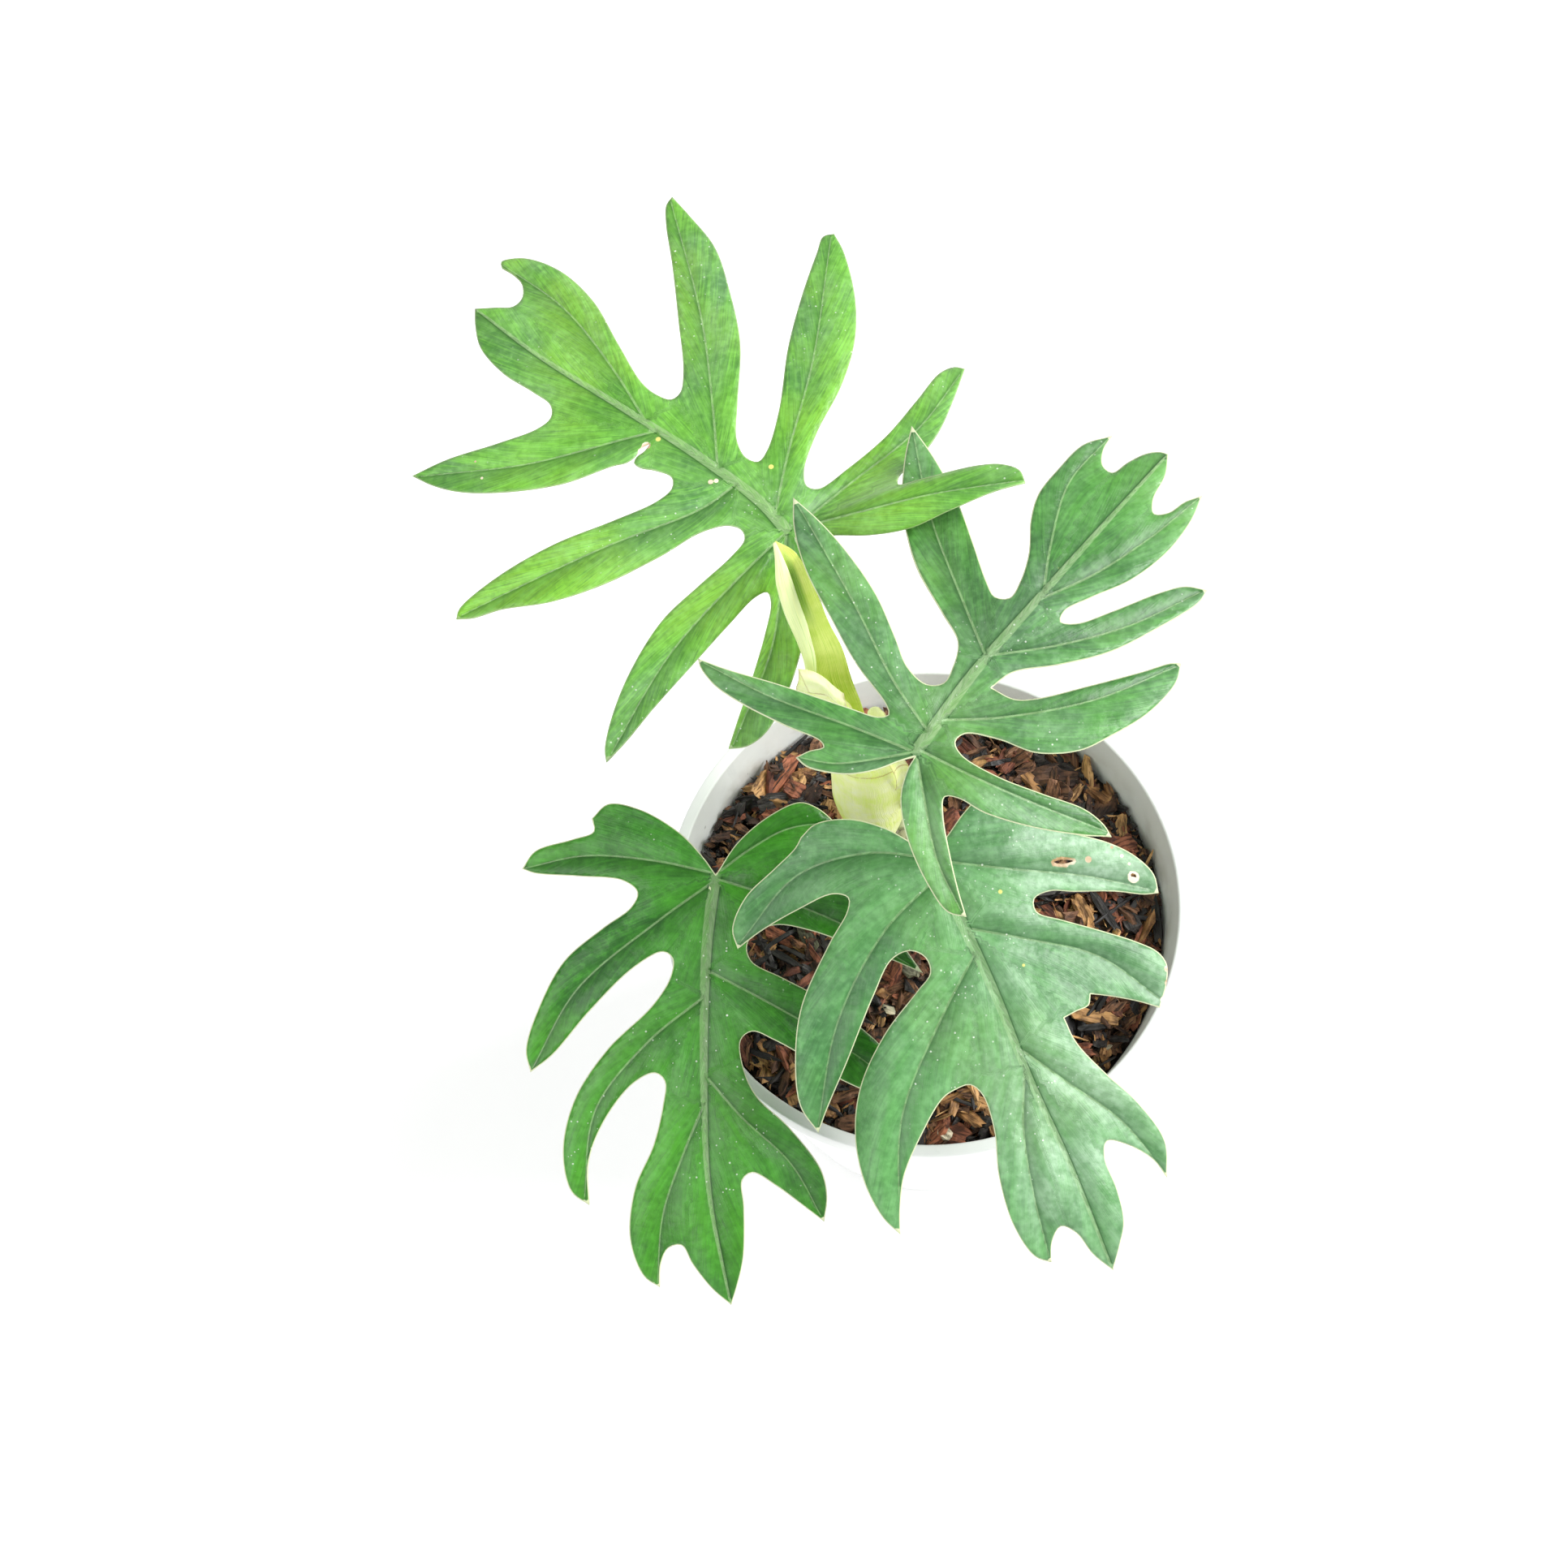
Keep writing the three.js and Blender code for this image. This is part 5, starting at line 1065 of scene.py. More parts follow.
def blade_net(leaf):
    """The blade laid flat: its margin, its vein lines, and a net of triangles that follows them."""
    margin = margin_line(leaf)
    closed = np.vstack([margin, margin[:1]])
    lines = [leaf["midrib"]] + [line for line, middle, end in leaf["veins"]]
    veins = [smooth_line(line, VEIN_STEP) for line in lines]
    holes = [line[:-1] for line in hole_lines(leaf)]
    points = [margin]
    edges = []
    count = len(margin)
    for line in veins:
        kept = line[encloses(margin, line) & (nearest(closed, line)[0] > VEIN_CLEAR)]
        points.append(kept)
        edges += [(count + i, count + i + 1) for i in range(len(kept) - 1)]
        count += len(kept)
    for ring in holes:
        points.append(ring)
        edges += [(count + i, count + (i + 1) % len(ring)) for i in range(len(ring))]
        count += len(ring)
    marks = marks_net(leaf)
    if len(marks):
        marks = marks[encloses(margin, marks)]
        marks = marks[nearest(closed, marks)[0] > MARK_CLEAR]
        marks = marks[from_lines(veins, marks) > MARK_FROM_VEINS]
        for ring in holes:
            marks = marks[~encloses(ring, marks)]
        points.append(marks)
    points.append(inner_places(margin, closed, veins))

    flat = [Vector(place) for place in np.vstack(points)]
    made = delaunay_2d_cdt(flat, edges, [list(range(len(margin)))], 1, 1e-4)
    places = np.array([tuple(place) for place in made[0]])
    faces = [list(face) for face in made[2]]
    for ring in holes:
        middles = np.array([places[face].mean(0) for face in faces])
        faces = [face for face, gone in zip(faces, encloses(ring, middles)) if not gone]
    return places, faces, closed, veins


def marked(places, marks):
    """1 inside round marks on the blade and 0 away from them: marks are (u, v, radius)."""
    found = np.zeros(len(places))
    for u, v, radius in marks:
        far = np.hypot(places[:, 0] - u, places[:, 1] - v) / radius
        found = np.maximum(found, 1 - fade(far, 0.45, 1.05))
    return found


def lobe_lift(leaf, seen):
    """How far the lobes rise at each place: every vein pulls by how near it is."""
    pulls = [1 / (far**2 + LIFT_SPREAD**2) ** LIFT_POWER for far, along, side in seen]
    lift = np.zeros(len(pulls[0]))
    for (line, middle, end), pull, (far, along, side) in zip(leaf["veins"], pulls[1:], seen[1:]):
        lift += pull * ((4 * middle - end) * along + (2 * end - 4 * middle) * along**2)
    return lift / np.sum(pulls, axis=0)


def blade_surface(leaf, places, closed, veins):
    """Where each flat place stands, and what the finish needs to know of it."""
    u, v = places.T
    heading, pitch = math.radians(leaf["heading"]), math.radians(leaf["pitch"])
    level = math.cos(pitch)
    out = np.array([math.cos(heading) * level, math.sin(heading) * level, math.sin(pitch)])
    left = np.array([-math.sin(heading), math.cos(heading), 0])
    up = np.cross(out, left)
    seen = [nearest(line, places) for line in veins]
    edge = nearest(closed, places)[0]

    gaps = np.array([far for far, along, side in seen])
    closest = gaps.argmin(0)
    row = np.arange(len(places))
    along = np.array([share for far, share, side in seen])[closest, row]
    side = np.array([way for far, share, way in seen])[closest, row]
    vein_gap = gaps.min(0)
    half = np.clip(vein_gap + edge, 0.1, FOLD_REACH)
    across = np.minimum(1, vein_gap / half)
    fold = FOLD_SLOPE * half * (across - FOLD_DIP * across**2)
    wave = WAVE * np.sin(u / 11 + v / 17) * np.sin(v / 9 - u / 23)

    rib_width = np.interp(seen[0][1], (0, 1), MIDRIB_HALF_WIDTH)
    rib = seen[0][0] - rib_width
    rise = MIDRIB_RISE * np.clip(1 - (seen[0][0] / rib_width) ** 2, 0, 1) * fade(edge, 0.2, 2)
    bend = np.where(u > 0, leaf["droop"], leaf["back"]) * (u / 100) ** 2 + leaf["side"] * (v / 100) ** 2
    place = np.array(leaf["attach"]) + leaf["grow"] * (u[:, None] * out + v[:, None] * left)
    place = place - bend[:, None] * up
    off_margin = fade(edge, 0.3, 3)
    ripple = RIPPLE * rough(places, RIPPLE_SIZE, 4) * off_margin
    groove = VEIN_GROOVE * np.exp(-((np.maximum(0, vein_gap - 0.2) / GROOVE_WIDTH) ** 2)) * off_margin
    groove = np.where(closest == 0, 0, groove)
    height = lobe_lift(leaf, seen) + fold + wave + rise + ripple - groove + LEAF_THICKNESS / 2
    place = place + height[:, None] * toward(place)

    lengths = np.array([np.linalg.norm(np.diff(line, axis=0), axis=1).sum() for line in veins])
    run = along * lengths[closest]
    vein_width = np.interp(along, (0, 1), VEIN_HALF_WIDTH)
    scar = marked(places, leaf.get("scars", []))
    for line in hole_lines(leaf):
        scar = np.maximum(scar, fade(-nearest(line, places)[0], -0.9, -0.1))
    known = {
        "vein": np.where(closest == 0, rib, vein_gap - vein_width),
        "rib": rib,
        "edge": edge,
        "scar": scar,
        "spot": marked(places, leaf.get("spots", [])),
        "thick": THIN_SHARE + RIB_SHARE * fade(-rib, -1.6, 0.6) + VEIN_SHARE * fade(-vein_gap, -1.0, 0),
        "flow": np.stack([run + 0.55 * vein_gap, vein_gap - 0.25 * run, closest * FLOW_APART + side], 1),
    }
    return place, known, up


def thickened(name, mesh, thick, materials):
    """A blade's mesh made solid downward, as thick at each point as its share says."""
    sheet = added(name + "_sheet", mesh)
    group = sheet.vertex_groups.new(name="thick")
    for i, share in enumerate(thick):
        group.add([i], float(share), "REPLACE")
    for material in materials:
        mesh.materials.append(material)
    solidify = sheet.modifiers.new("thickness", "SOLIDIFY")
    solidify.thickness = THICKEST * MM
    solidify.offset = -1
    solidify.vertex_group = "thick"
    solidify.thickness_vertex_group = 0.0
    solidify.material_offset = 1
    return baked(sheet)


def leaf_piece(leaf, materials):
    """One leaf: the blade, thick at its veins, and the petiole that it grew on."""
    name = leaf["name"]
    places, faces, closed, veins = blade_net(leaf)
    place, known, up = blade_surface(leaf, places, closed, veins)
    mesh = bpy.data.meshes.new(name)
    mesh.from_pydata((place * MM).tolist(), [], faces)
    for key, values in known.items():
        carry(mesh, key, values)
    if mesh.polygons[0].normal @ Vector(up) < 0:
        mesh.flip_normals()

    bm = bmesh.new()
    bm.from_mesh(thickened(name, mesh, known["thick"], materials))
    bmesh.ops.scale(bm, vec=(1 / MM, 1 / MM, 1 / MM), verts=bm.verts)
    rib = veins[0]
    under = []
    for u in (2, 9, 20):
        spot = rib[np.abs(rib[:, 0] - u).argmin()][None]
        point = blade_surface(leaf, spot, closed, veins)[0][0]
        under.append(point - up * (LEAF_THICKNESS + 0.75 * PETIOLE_RADIUS + 0.03 * u))
    shape = [(0, 3.3), (0.06, 2.9), (0.2, 2.2), (0.6, PETIOLE_RADIUS), (0.84, 2.0), (1, 0.9)]
    rod(bm, [*leaf["petiole"], *under], shape, sides=20, step=1.6, material=2, flat=0.92)
    mesh = mesh_of(bm, name)
    mesh.materials.clear()
    finished(name + "_blade", mesh, materials, name)


back = leaf_back_finish()
stalk = stalk_finish()
for leaf in LEAVES:
    leaf_piece(leaf, [leaf_finish(leaf["name"] + "_green", LEAF_LOOKS[leaf["name"]]), back, stalk])


# The shoot

# The share of a station before and behind, between which a sheet's direction is taken
LOOK_AROUND = 0.3


def stations(rows, shares, *names):
    """The middle line and the named sizes of a sheet, at shares from 0 to 1 along its stations."""
    last = len(rows) - 1
    line = [row["at"] for row in rows]
    at = shares * last
    sizes = [spline([[row[name]] for row in rows], at)[:, 0] for name in names]
    behind = spline(line, np.maximum(at - LOOK_AROUND, 0))
    along = spline(line, np.minimum(at + LOOK_AROUND, last)) - behind
    along /= np.linalg.norm(along, axis=1, keepdims=True)
    right = np.cross(along, toward(behind))
    right /= np.linalg.norm(right, axis=1, keepdims=True)
    return spline(line, at), right, np.cross(right, along), sizes


def set_out(middle, right, front, x, y):
    """Places that lie x to the right and y to the front of a middle line."""
    return middle + x[:, None] * right + y[:, None] * front


def sheet_piece(name, across, along, place, thickness, material, replaces=None, extras=None):
    """A thin closed piece made from a grid on a surface, with its shares kept for the finish."""
    bm = bmesh.new()
    layers = [bm.verts.layers.float.new(key) for key in ("across", "along", "rim")]
    made, shares_across, shares_along = grid(bm, across, along)
    points, rim = place(shares_across, shares_along)
    for vert, point, *numbers in zip(made, points, shares_across, shares_along, rim):
        vert.co = point
        for layer, number in zip(layers, numbers):
            vert[layer] = number
    bmesh.ops.solidify(bm, geom=bm.faces[:], thickness=thickness)
    bmesh.ops.recalc_face_normals(bm, faces=bm.faces[:])
    if extras:
        extras(bm)
    finished(name, mesh_of(bm, name), [material], replaces)


def new_leaf_place(across, along):
    """The first share across is the rolled margin, and the rest lies nearly flat."""
    middle, right, front, (reach, width, roll) = stations(NEW_LEAF, along, "left", "right", "roll")
    turn = np.radians(ROLL_TURN * np.clip(1 - across / ROLLED, 0, 1))
    x_roll = -reach + ROLL_FLATTEN * roll * (1 - np.sin(turn))
    y_roll = roll - roll * np.cos(turn)
    share = np.clip((across - ROLLED) / (1 - ROLLED), 0, 1)
    start = -reach + ROLL_FLATTEN * roll
    x_flat = start + (width - start) * share
    y_flat = NEW_LEAF_RISE * width * np.clip(x_flat / np.maximum(width, 0.1), 0, 1) ** 2
    x = np.where(across < ROLLED, x_roll, x_flat)
    y = np.where(across < ROLLED, y_roll, y_flat) + 0.25 * np.sin(9 * along + 2) * share
    return set_out(middle, right, front, x, y), np.minimum(across, 1 - across) * 2 * width


def sheath_place(across, along):
    """The boat-shaped scale, then its top, which rolls over toward the front and hangs down."""
    body = np.minimum(along / CURL_START, 1) * (1 - CURL_SLANT * across**2 * fade(along, 0.4, CURL_START))
    middle, right, front, (radius, left, far) = stations(SHEATH, body, "radius", "left", "right")
    torn = 1.2 * np.abs(np.sin(23 * along + 1)) + 0.8 * np.abs(np.sin(61 * along))
    angle = np.radians((left + far + 3 * torn) * across - left)
    rim = np.minimum(np.minimum(across, 1 - across) * np.radians(left + far) * radius, (1 - along) * 60)
    place = set_out(middle, right, front, radius * np.sin(angle), radius * (np.cos(angle) - 1 + SHEATH_BULGE))
    over = np.maximum(0, along - CURL_START) / (1 - CURL_START)
    turn = np.minimum(over / CURL_OVER, 1) * math.pi
    fall = np.maximum(0, over - CURL_OVER) / (1 - CURL_OVER) * SHEATH_CURL_FALL
    rise = SHEATH_CURL * np.sin(turn) - fall
    ahead = SHEATH_CURL * (1 - np.cos(turn)) - 0.12 * fall + 0.25 * np.sin(9 * across) * over
    return set_out(place, np.cross(front, right), front, rise, ahead), rim


def strip_place(across, along):
    """A narrow strip that curls a little across, with a torn, pointed end."""
    middle, right, front, (half,) = stations(TORN_STRIP, along, "half")
    aside = 2 * across - 1
    y = 0.5 * half * aside**2 + 0.3 * np.sin(7 * along)
    return set_out(middle, right, front, aside * half, y), np.minimum(across, 1 - across) * 2 * half


def new_petiole(bm):
    rod(bm, NEW_PETIOLE, [(0, 2.2), (0.3, NEW_PETIOLE_RADIUS), (1, NEW_PETIOLE_RADIUS)], sides=16)


young = young_finish()
sheet_piece("new_leaf_piece", 48, 150, new_leaf_place, NEW_LEAF_THICKNESS, young,
            "new_leaf", new_petiole)
pale = sheath_finish()
sheet_piece("sheath_piece", 60, 190, sheath_place, SHEATH_THICKNESS, pale, "sheath")
sheet_piece("sheath_strip", 14, 50, strip_place, STRIP_THICKNESS, pale)


# The stem

def turned_shape(bm, profile, steps):
    """A round body spun from its profile of radii and heights, closed at its poles."""
    verts = [bm.verts.new((r, 0, z)) for r, z in profile]
    edges = [bm.edges.new(pair) for pair in zip(verts, verts[1:])]
    bmesh.ops.spin(bm, geom=verts + edges, cent=(0, 0, 0), axis=(0, 0, 1), angle=2 * math.pi,
                   steps=steps, use_merge=True, use_duplicate=False)
    bmesh.ops.remove_doubles(bm, verts=bm.verts, dist=1e-4)
    bmesh.ops.recalc_face_normals(bm, faces=bm.faces)


# Where old leaves fell off: the height of each scar, its spread up and down, and its depth
STEM_SCARS = ((79, 2, 1.1), (104, 1.6, 1.3), (114, 1.3, 0.9))


def stem_piece():
    """The short stem, waisted at its leaf scars, with thick roots that spread and go down."""
    bm = bmesh.new()
    profile = [(0, STEM_FOOT), (STEM_RADIUS - 4, STEM_FOOT)]
    for z in np.arange(STEM_FOOT, STEM_TOP, 0.9)[2:]:
        waist = sum(depth * math.exp(-((z - at) / spread) ** 2) for at, spread, depth in STEM_SCARS)
        profile.append((STEM_RADIUS - waist - 0.2, z))
    profile += [(STEM_RADIUS - 1.4, STEM_TOP - 0.2), (STEM_RADIUS - 4, STEM_TOP), (0, STEM_TOP)]
    turned_shape(bm, profile, 64)
    x, y = STEM_CENTRE
    for vert in bm.verts:
        bumps = noise.noise(vert.co / 4) + 0.5 * noise.noise(vert.co / 1.6)
        shift = Vector((vert.co.x, vert.co.y, 0)).normalized() * (BARK_ROUGHNESS * bumps)
        vert.co += shift + Vector((x, y, 0))
    for i in range(ROOT_COUNT):
        angle = 2 * math.pi * (i + 0.3) / ROOT_COUNT
        far = (24, 28, 32)[i % 3]
        deep = STEM_FOOT - (38, 44)[i % 2]
        route = [(3, 92), (11, 84), (far, 66), (far + 3, (66 + deep) / 2), (far, deep)]
        route = [(x + r * math.cos(angle), y + r * math.sin(angle) - 0.4 * r, z) for r, z in route]
        rod(bm, route, [(0, 2.4), (0.3, ROOT_RADIUS), (0.8, ROOT_RADIUS), (1, 0.8)], sides=14)
    finished("stem_piece", mesh_of(bm, "stem_piece"), [stem_finish()], "stem")


stem_piece()


# The pot

def sharp_rings(bm):
    """The round edges of the pot's wall that a bevel softens."""
    return [
        edge
        for edge in bm.edges
        if len(edge.link_faces) == 2
        and edge.calc_face_angle() > math.radians(30)
        and edge.verts[0].co.xy.length > DRAIN_RING + DRAIN_RADIUS
        and abs(edge.verts[0].co.z - edge.verts[1].co.z) < 1e-4
    ]


def drain_cutters():
    """Round bars that cut the drain holes."""
    bm = bmesh.new()
    for i in range(DRAIN_HOLES):
        turn = 2 * math.pi * i / DRAIN_HOLES
        spot = Matrix.Translation((DRAIN_RING * math.cos(turn), DRAIN_RING * math.sin(turn), FLOOR / 2))
        bmesh.ops.create_cone(bm, cap_ends=True, segments=32, radius1=DRAIN_RADIUS,
                              radius2=DRAIN_RADIUS, depth=4 * FLOOR, matrix=spot)
    return added("drain_cutters", mesh_of(bm, "drain_cutters"))


def pot_piece():
    """The pot: a wall of even thickness, a stepped ring at its rim and a floor with drain holes."""
    under = RIM_HEIGHT - LIP_HEIGHT
    profile = [
        (0, 0),
        (DRAIN_RING, 0),
        (BASE_RADIUS - BASE_EDGE, 0),
        (BASE_RADIUS, BASE_EDGE),
        (RIM_RADIUS - LIP_STEP, under),
        (RIM_RADIUS, under),
        (RIM_RADIUS, RIM_HEIGHT),
        (RIM_RADIUS - RING_WIDTH, RIM_HEIGHT),
        (pot_inside(FLOOR + FLOOR_BEND), FLOOR + FLOOR_BEND),
        (pot_inside(FLOOR) - FLOOR_BEND, FLOOR),
        (DRAIN_RING, FLOOR),
        (0, FLOOR),
    ]
    bm = bmesh.new()
    turned_shape(bm, profile, POT_STEPS)
    bmesh.ops.bevel(bm, geom=sharp_rings(bm), offset=POT_BEVEL, offset_type="OFFSET", affect="EDGES",
                    segments=3, profile=0.5, material=-1)
    shell = added("pot_shell", mesh_of(bm, "pot_piece"))
    drill = drain_cutters()
    cut = shell.modifiers.new("drain_holes", "BOOLEAN")
    cut.operation = "DIFFERENCE"
    cut.solver = "EXACT"
    cut.object = drill
    mesh = baked(shell)
    bpy.data.objects.remove(drill)
    x, y, z = np.array([v.co[:] for v in mesh.vertices]).T / MM
    carry(mesh, "inner", (np.hypot(x, y) < pot_inside(z) + 0.4) & (z > 1))
    finished("pot_piece", mesh, [pot_finish()], "pot")
    mesh.set_sharp_from_angle(angle=math.radians(35))


pot_piece()


# The mix

def piled(x, y):
    """How high the chips lie at a place. They are heaped a little against the pot's left side."""
    return mix_top(x, y) + PILE_RISE * float(fade(-x, PILE_FROM, PILE_TO))


def bed_piece():
    """The mix under the chips: a block with a rough, crumbly top."""
    level = pot_inside(MIX_LEVEL) - GAP
    profile = [(0, FLOOR + GAP), (pot_inside(FLOOR) - FLOOR_BEND - 2 * GAP, FLOOR + GAP)]
    profile += [(pot_inside(z) - GAP, z) for z in (FLOOR + FLOOR_BEND + GAP, 40, 80, MIX_LEVEL - 2)]
    profile += [(level * (1 - share), MIX_LEVEL + 9) for share in np.linspace(0, 1, BED_RINGS)]
    bm = bmesh.new()
    turned_shape(bm, profile, BED_STEPS)
    for vert in bm.verts:
        if vert.co.z > MIX_LEVEL + 5:
            x, y = vert.co.xy
            crumbs = noise.noise(Vector((x, y, 3)) / 5) * 1.4 + noise.noise(Vector((x, y, 9)) / 2) * 0.8
            vert.co.z = mix_top(x, y) - BED_DEPTH + crumbs
    finished("mix_bed", mesh_of(bm, "mix_bed"), [crumb_finish()], "potting_mix")


def chip_shape(seed, wide, thick, lengths=6, ridged=True):
    """One split chip, 1 mm long: a bar with torn, pinched ends and uneven sides."""
    draw = random.Random(seed)
    bm = bmesh.new()
    bmesh.ops.create_cube(bm, size=1)
    bmesh.ops.scale(bm, vec=(1, wide, thick), verts=bm.verts)
    long_edges = [e for e in bm.edges if abs(e.verts[0].co.x - e.verts[1].co.x) > 0.5]
    bmesh.ops.subdivide_edges(bm, edges=long_edges, cuts=lengths - 1, use_grid_fill=True)
    if ridged:
        cross = [e for e in bm.edges if abs(e.verts[0].co.y - e.verts[1].co.y) > 0.5 * wide]
        bmesh.ops.subdivide_edges(bm, edges=cross, cuts=1, use_grid_fill=True)
    bow = draw.uniform(-0.12, 0.12)
    for vert in bm.verts:
        x, y, z = vert.co
        end = abs(2 * x) ** 4
        pinch = 1 - draw.uniform(0.15, 0.6) * end
        vert.co.y = y * pinch + bow * (0.25 - x * x) + wide * draw.uniform(-0.13, 0.13)
        vert.co.z = z * (1 - 0.5 * end) + thick * draw.uniform(-0.2, 0.2)
        vert.co.x = x + end * draw.uniform(-0.14, 0.06) * (1 if x > 0 else -1)
    bmesh.ops.recalc_face_normals(bm, faces=bm.faces)
    bm.verts.index_update()
    verts = np.array([v.co[:] for v in bm.verts])
    faces = [[v.index for v in face.verts] for face in bm.faces]
    bm.free()
    return verts, faces


def turns(yaw, pitch, roll):
    """A turn about the chip's length, then about its width, then about the upright."""
    spins = ((yaw, "Z"), (pitch, "Y"), (roll, "X"))
    about_z, about_y, about_x = (Matrix.Rotation(angle, 3, axis) for angle, axis in spins)
    return np.array(about_z @ about_y @ about_x)


def strewn(seed, count, length, shapes, height=(-2, 1.2), tilt=0.35):
    """Chips scattered over the mix by a seeded rule: (shape, size, turn, place, tone) for each."""
    draw = random.Random(seed)
    found = []
    while len(found) < count:
        long = length[0] + (length[1] - length[0]) * draw.random() ** 1.8
        radius = (pot_inside(MIX_LEVEL) - 1) * math.sqrt(draw.random())
        around = draw.uniform(0, 2 * math.pi)
        x, y = radius * math.cos(around), radius * math.sin(around)
        if math.hypot(x - STEM_CENTRE[0], y - STEM_CENTRE[1]) < STEM_RADIUS + CLEAR_OF_STEM:
            continue
        turn = turns(draw.uniform(0, 2 * math.pi), draw.gauss(0, tilt), draw.uniform(-1.2, 1.2))
        place = np.array([x, y, piled(x, y) + draw.uniform(*height)])
        found.append((draw.choice(shapes), (long, long, long), turn, place, draw.random()))
    return found


def laid(rows, shapes, lift=1.6):
    """Larger chips laid at given places: each is (start, end, width, tone) seen from above."""
    found = []
    for i, ((x0, y0), (x1, y1), wide, tone) in enumerate(rows):
        long = math.hypot(x1 - x0, y1 - y0)
        shape = shapes[i % len(shapes)]
        size = (long, wide / np.ptp(shape[0][:, 1]), CHIP_THINNESS * wide / np.ptp(shape[0][:, 2]))
        x, y = (x0 + x1) / 2, (y0 + y1) / 2
        turn = turns(math.atan2(y1 - y0, x1 - x0), 0.06 * (-1) ** i, 0.2 * (-1) ** i)
        found.append((shape, size, turn, np.array([x, y, piled(x, y) + lift]), tone))
    return found


def chip_piece(name, chips, material):
    """Chips of one kind as one piece, each kept clear of the pot's wall."""
    draw = random.Random(name)
    verts, faces, tones, grains = [], [], [], []
    total = 0
    for (shape, ring), size, turn, place, tone in chips:
        sized = shape * np.array(size)
        placed = sized @ turn.T + place
        radii = np.hypot(placed[:, 0], placed[:, 1])
        over = (radii - (pot_inside(placed[:, 2]) - CLEAR_OF_WALL)).max()
        if over > 0:
            placed[:, :2] -= place[:2] / max(1, np.hypot(*place[:2])) * over
        verts.append(placed)
        faces += [[k + total for k in face] for face in ring]
        total += len(shape)
        tones.append(np.full(len(shape), tone))
        grains.append(sized + (draw.uniform(0, GRAIN_SPREAD), draw.uniform(0, GRAIN_SPREAD), 0))
    mesh = bpy.data.meshes.new(name)
    mesh.from_pydata((np.vstack(verts) * MM).tolist(), [], faces)
    carry(mesh, "tone", np.concatenate(tones))
    carry(mesh, "grain", np.vstack(grains))
    finished(name, mesh, [material])
    mesh.shade_flat()


bed_piece()
BARS = [chip_shape(seed, 0.22 + 0.04 * seed, 0.12, 5) for seed in range(6)]
SLABS = [chip_shape(20 + seed, 0.42 + 0.05 * seed, 0.16, 4) for seed in range(5)]
CRUMBS = [chip_shape(40 + seed, 0.5, 0.35, 2, False) for seed in range(5)]
TWIGS = [chip_shape(60 + seed, 0.07, 0.06, 6, False) for seed in range(5)]
brown_bark = bark_finish("bark_brown", (0.036, 0.016, 0.010), (0.30, 0.14, 0.068))
red_bark = bark_finish("bark_red", (0.11, 0.030, 0.016), (0.44, 0.15, 0.075))
split_wood = bark_finish("wood_tan", (0.26, 0.11, 0.035), (0.70, 0.40, 0.16), 0.75)
charcoal = bark_finish("bark_black", (0.012, 0.011, 0.012), (0.055, 0.046, 0.042), 0.7)
grey_stem = bark_finish("old_stem_grey", (0.10, 0.10, 0.06), (0.34, 0.32, 0.20), 0.8)
pale_wood = bark_finish("wood_pale", (0.48, 0.38, 0.24), (0.76, 0.68, 0.50), 0.8)
LAID_RED = [
    ((-38.8, 51.6), (-49.5, 37), 6, 0.9), ((-42.5, 41.5), (-35.5, 37.5), 6, 0.6),
    ((62.9, -1.8), (60.2, -9), 3.6, 0.8), ((52, -23.5), (54.8, -30.5), 3.6, 0.5),
    ((-25, -14), (-18, -19), 5, 0.4), ((30, -44), (38, -49), 4, 0.7),
]
LAID_TAN = [
    ((42.5, 6), (46.8, -4.5), 5, 0.45), ((36.8, 2.5), (39.4, -3.4), 2.6, 0.5),
    ((33, 1), (35.2, -4), 2.6, 0.6), ((41.3, -29), (54.7, -32), 4.4, 0.5),
    ((-45, 54), (-38.4, 53), 3, 0.7), ((-36, 44), (-39, 36), 2.6, 0.8),
    ((-40.5, -53.6), (-38.4, -58), 4, 0.5), ((-28, -54.5), (-26, -60), 4.6, 0.4),
    ((11, -54), (22, -58), 3.4, 0.6), ((8, 45), (20, 50), 3.4, 0.6), ((24, 38), (36, 33), 3, 0.8),
    ((28, 47), (34, 38), 4, 0.3),
]
LAID_BLACK = [
    ((27, 6.5), (51, 10), 7.5, 1.0), ((57, 2.5), (60.5, -5), 5.5, 1.0), ((66, 7), (67.3, -8), 3, 0.3),
    ((43, -34), (51.5, -33.2), 2.2, 0.2), ((47.5, 7.5), (55, -4.8), 3, 0.6),
]
LAID_TWIGS = [
    ((55.6, 0.8), (67.6, -0.6), 1.5, 0.0), ((-51, -7), (-33.5, -18), 2.2, 0.1),
    ((-47.5, -12), (-38, -5), 1.7, 0.1), ((-44, 52), (-36, 60), 1.2, 0.0),
    ((-20, -50), (-8, -60), 1.4, 0.2),
]
LAID_GREY = [((-37, -2.6), (-32.4, -13), 5, 0.2), ((-10.8, -12.2), (-2, -19.8), 5, 0.3)]
LAID_PALE = [((-13.8, -27.8), (-8.6, -30.2), 2.6, 0.9), ((3.2, -62.8), (6.6, -65.6), 4, 0.8)]
chip_piece("chips_brown", strewn(1, 800, (4, 16), BARS + BARS + SLABS), brown_bark)
chip_piece("chips_red", strewn(2, 300, (6, 19), BARS, (-1.5, 2.0)) + laid(LAID_RED, BARS), red_bark)
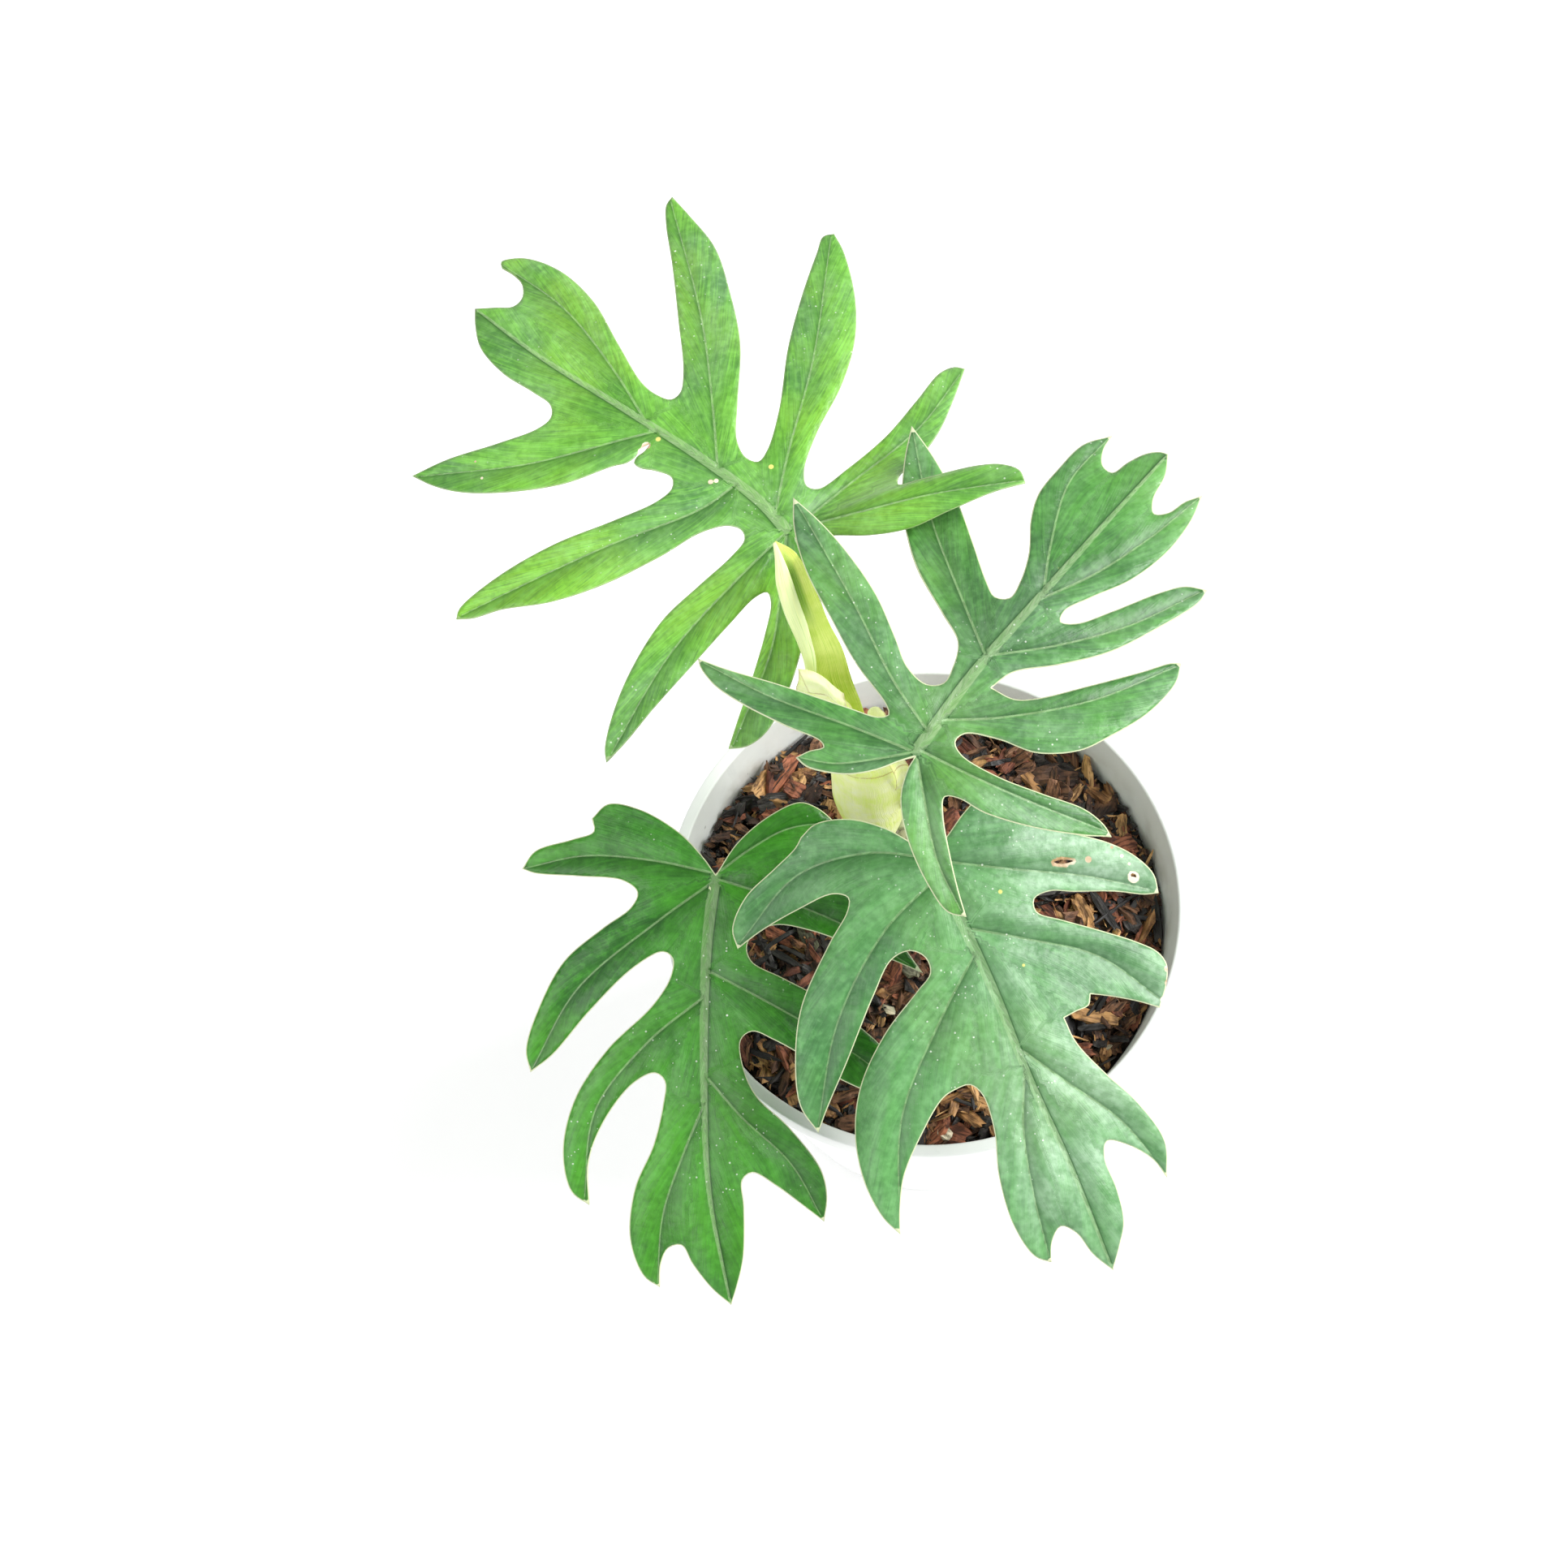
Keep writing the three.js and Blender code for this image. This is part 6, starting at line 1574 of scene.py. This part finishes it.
chip_piece("chips_tan", strewn(3, 330, (4, 15), BARS, (-0.8, 2.0)) + laid(LAID_TAN, BARS), split_wood)
chip_piece("chips_black", strewn(4, 1000, (3, 14), BARS + SLABS) + laid(LAID_BLACK, BARS, 2), charcoal)
chip_piece("chips_pale", strewn(5, 40, (2, 6), SLABS, (-0.5, 1.8)) + laid(LAID_PALE, SLABS, 2.2), pale_wood)
chip_piece("stem_cuttings", laid(LAID_GREY, BARS, 2.4), grey_stem)
chip_piece("crumbs_brown", strewn(6, 1300, (1.2, 3.6), CRUMBS, (-2.2, 1.4), 0.8), brown_bark)
chip_piece("crumbs_black", strewn(7, 2400, (1.0, 3.2), CRUMBS, (-2.4, 1.2), 0.8), charcoal)
black_twigs = strewn(8, 240, (8, 22), TWIGS, (-0.5, 2.4), 0.25) + laid(LAID_TWIGS, TWIGS, 3)
chip_piece("twigs_black", black_twigs, charcoal)
chip_piece("twigs_tan", strewn(9, 500, (4, 12), TWIGS, (-0.5, 2.2)), split_wood)


# Floor and light

FLOOR_HALF = 3000
PLANT_MIDDLE = Vector((0, 0, 0.18))
KEY_POWER = 46
FILL_POWER = 16
SKY_STRENGTH = 0.72


def soft_light(name, place, size, power):
    """A square lamp that faces the plant."""
    lamp = bpy.data.lights.new(name, "AREA")
    lamp.size = size
    lamp.energy = power
    made = added(name, lamp)
    made.location = place
    made.rotation_euler = (PLANT_MIDDLE - Vector(place)).to_track_quat("-Z", "Y").to_euler()


bm = bmesh.new()
bmesh.ops.create_grid(bm, x_segments=2, y_segments=2, size=FLOOR_HALF)
floor = added("floor", mesh_of(bm, "floor"))
floor.data.materials.append(floor_finish())

soft_light("key_light", (1.35, 0.25, 1.25), 1.2, KEY_POWER)
soft_light("fill_light", (-1.0, -0.8, 1.2), 1.4, FILL_POWER)
world = bpy.data.worlds.new("soft_white")
world.use_nodes = True
sky = world.node_tree.nodes["Background"].inputs
sky["Color"].default_value = (1, 1, 1, 1)
sky["Strength"].default_value = SKY_STRENGTH
bpy.context.scene.world = world
bpy.context.scene.view_settings.view_transform = "Standard"
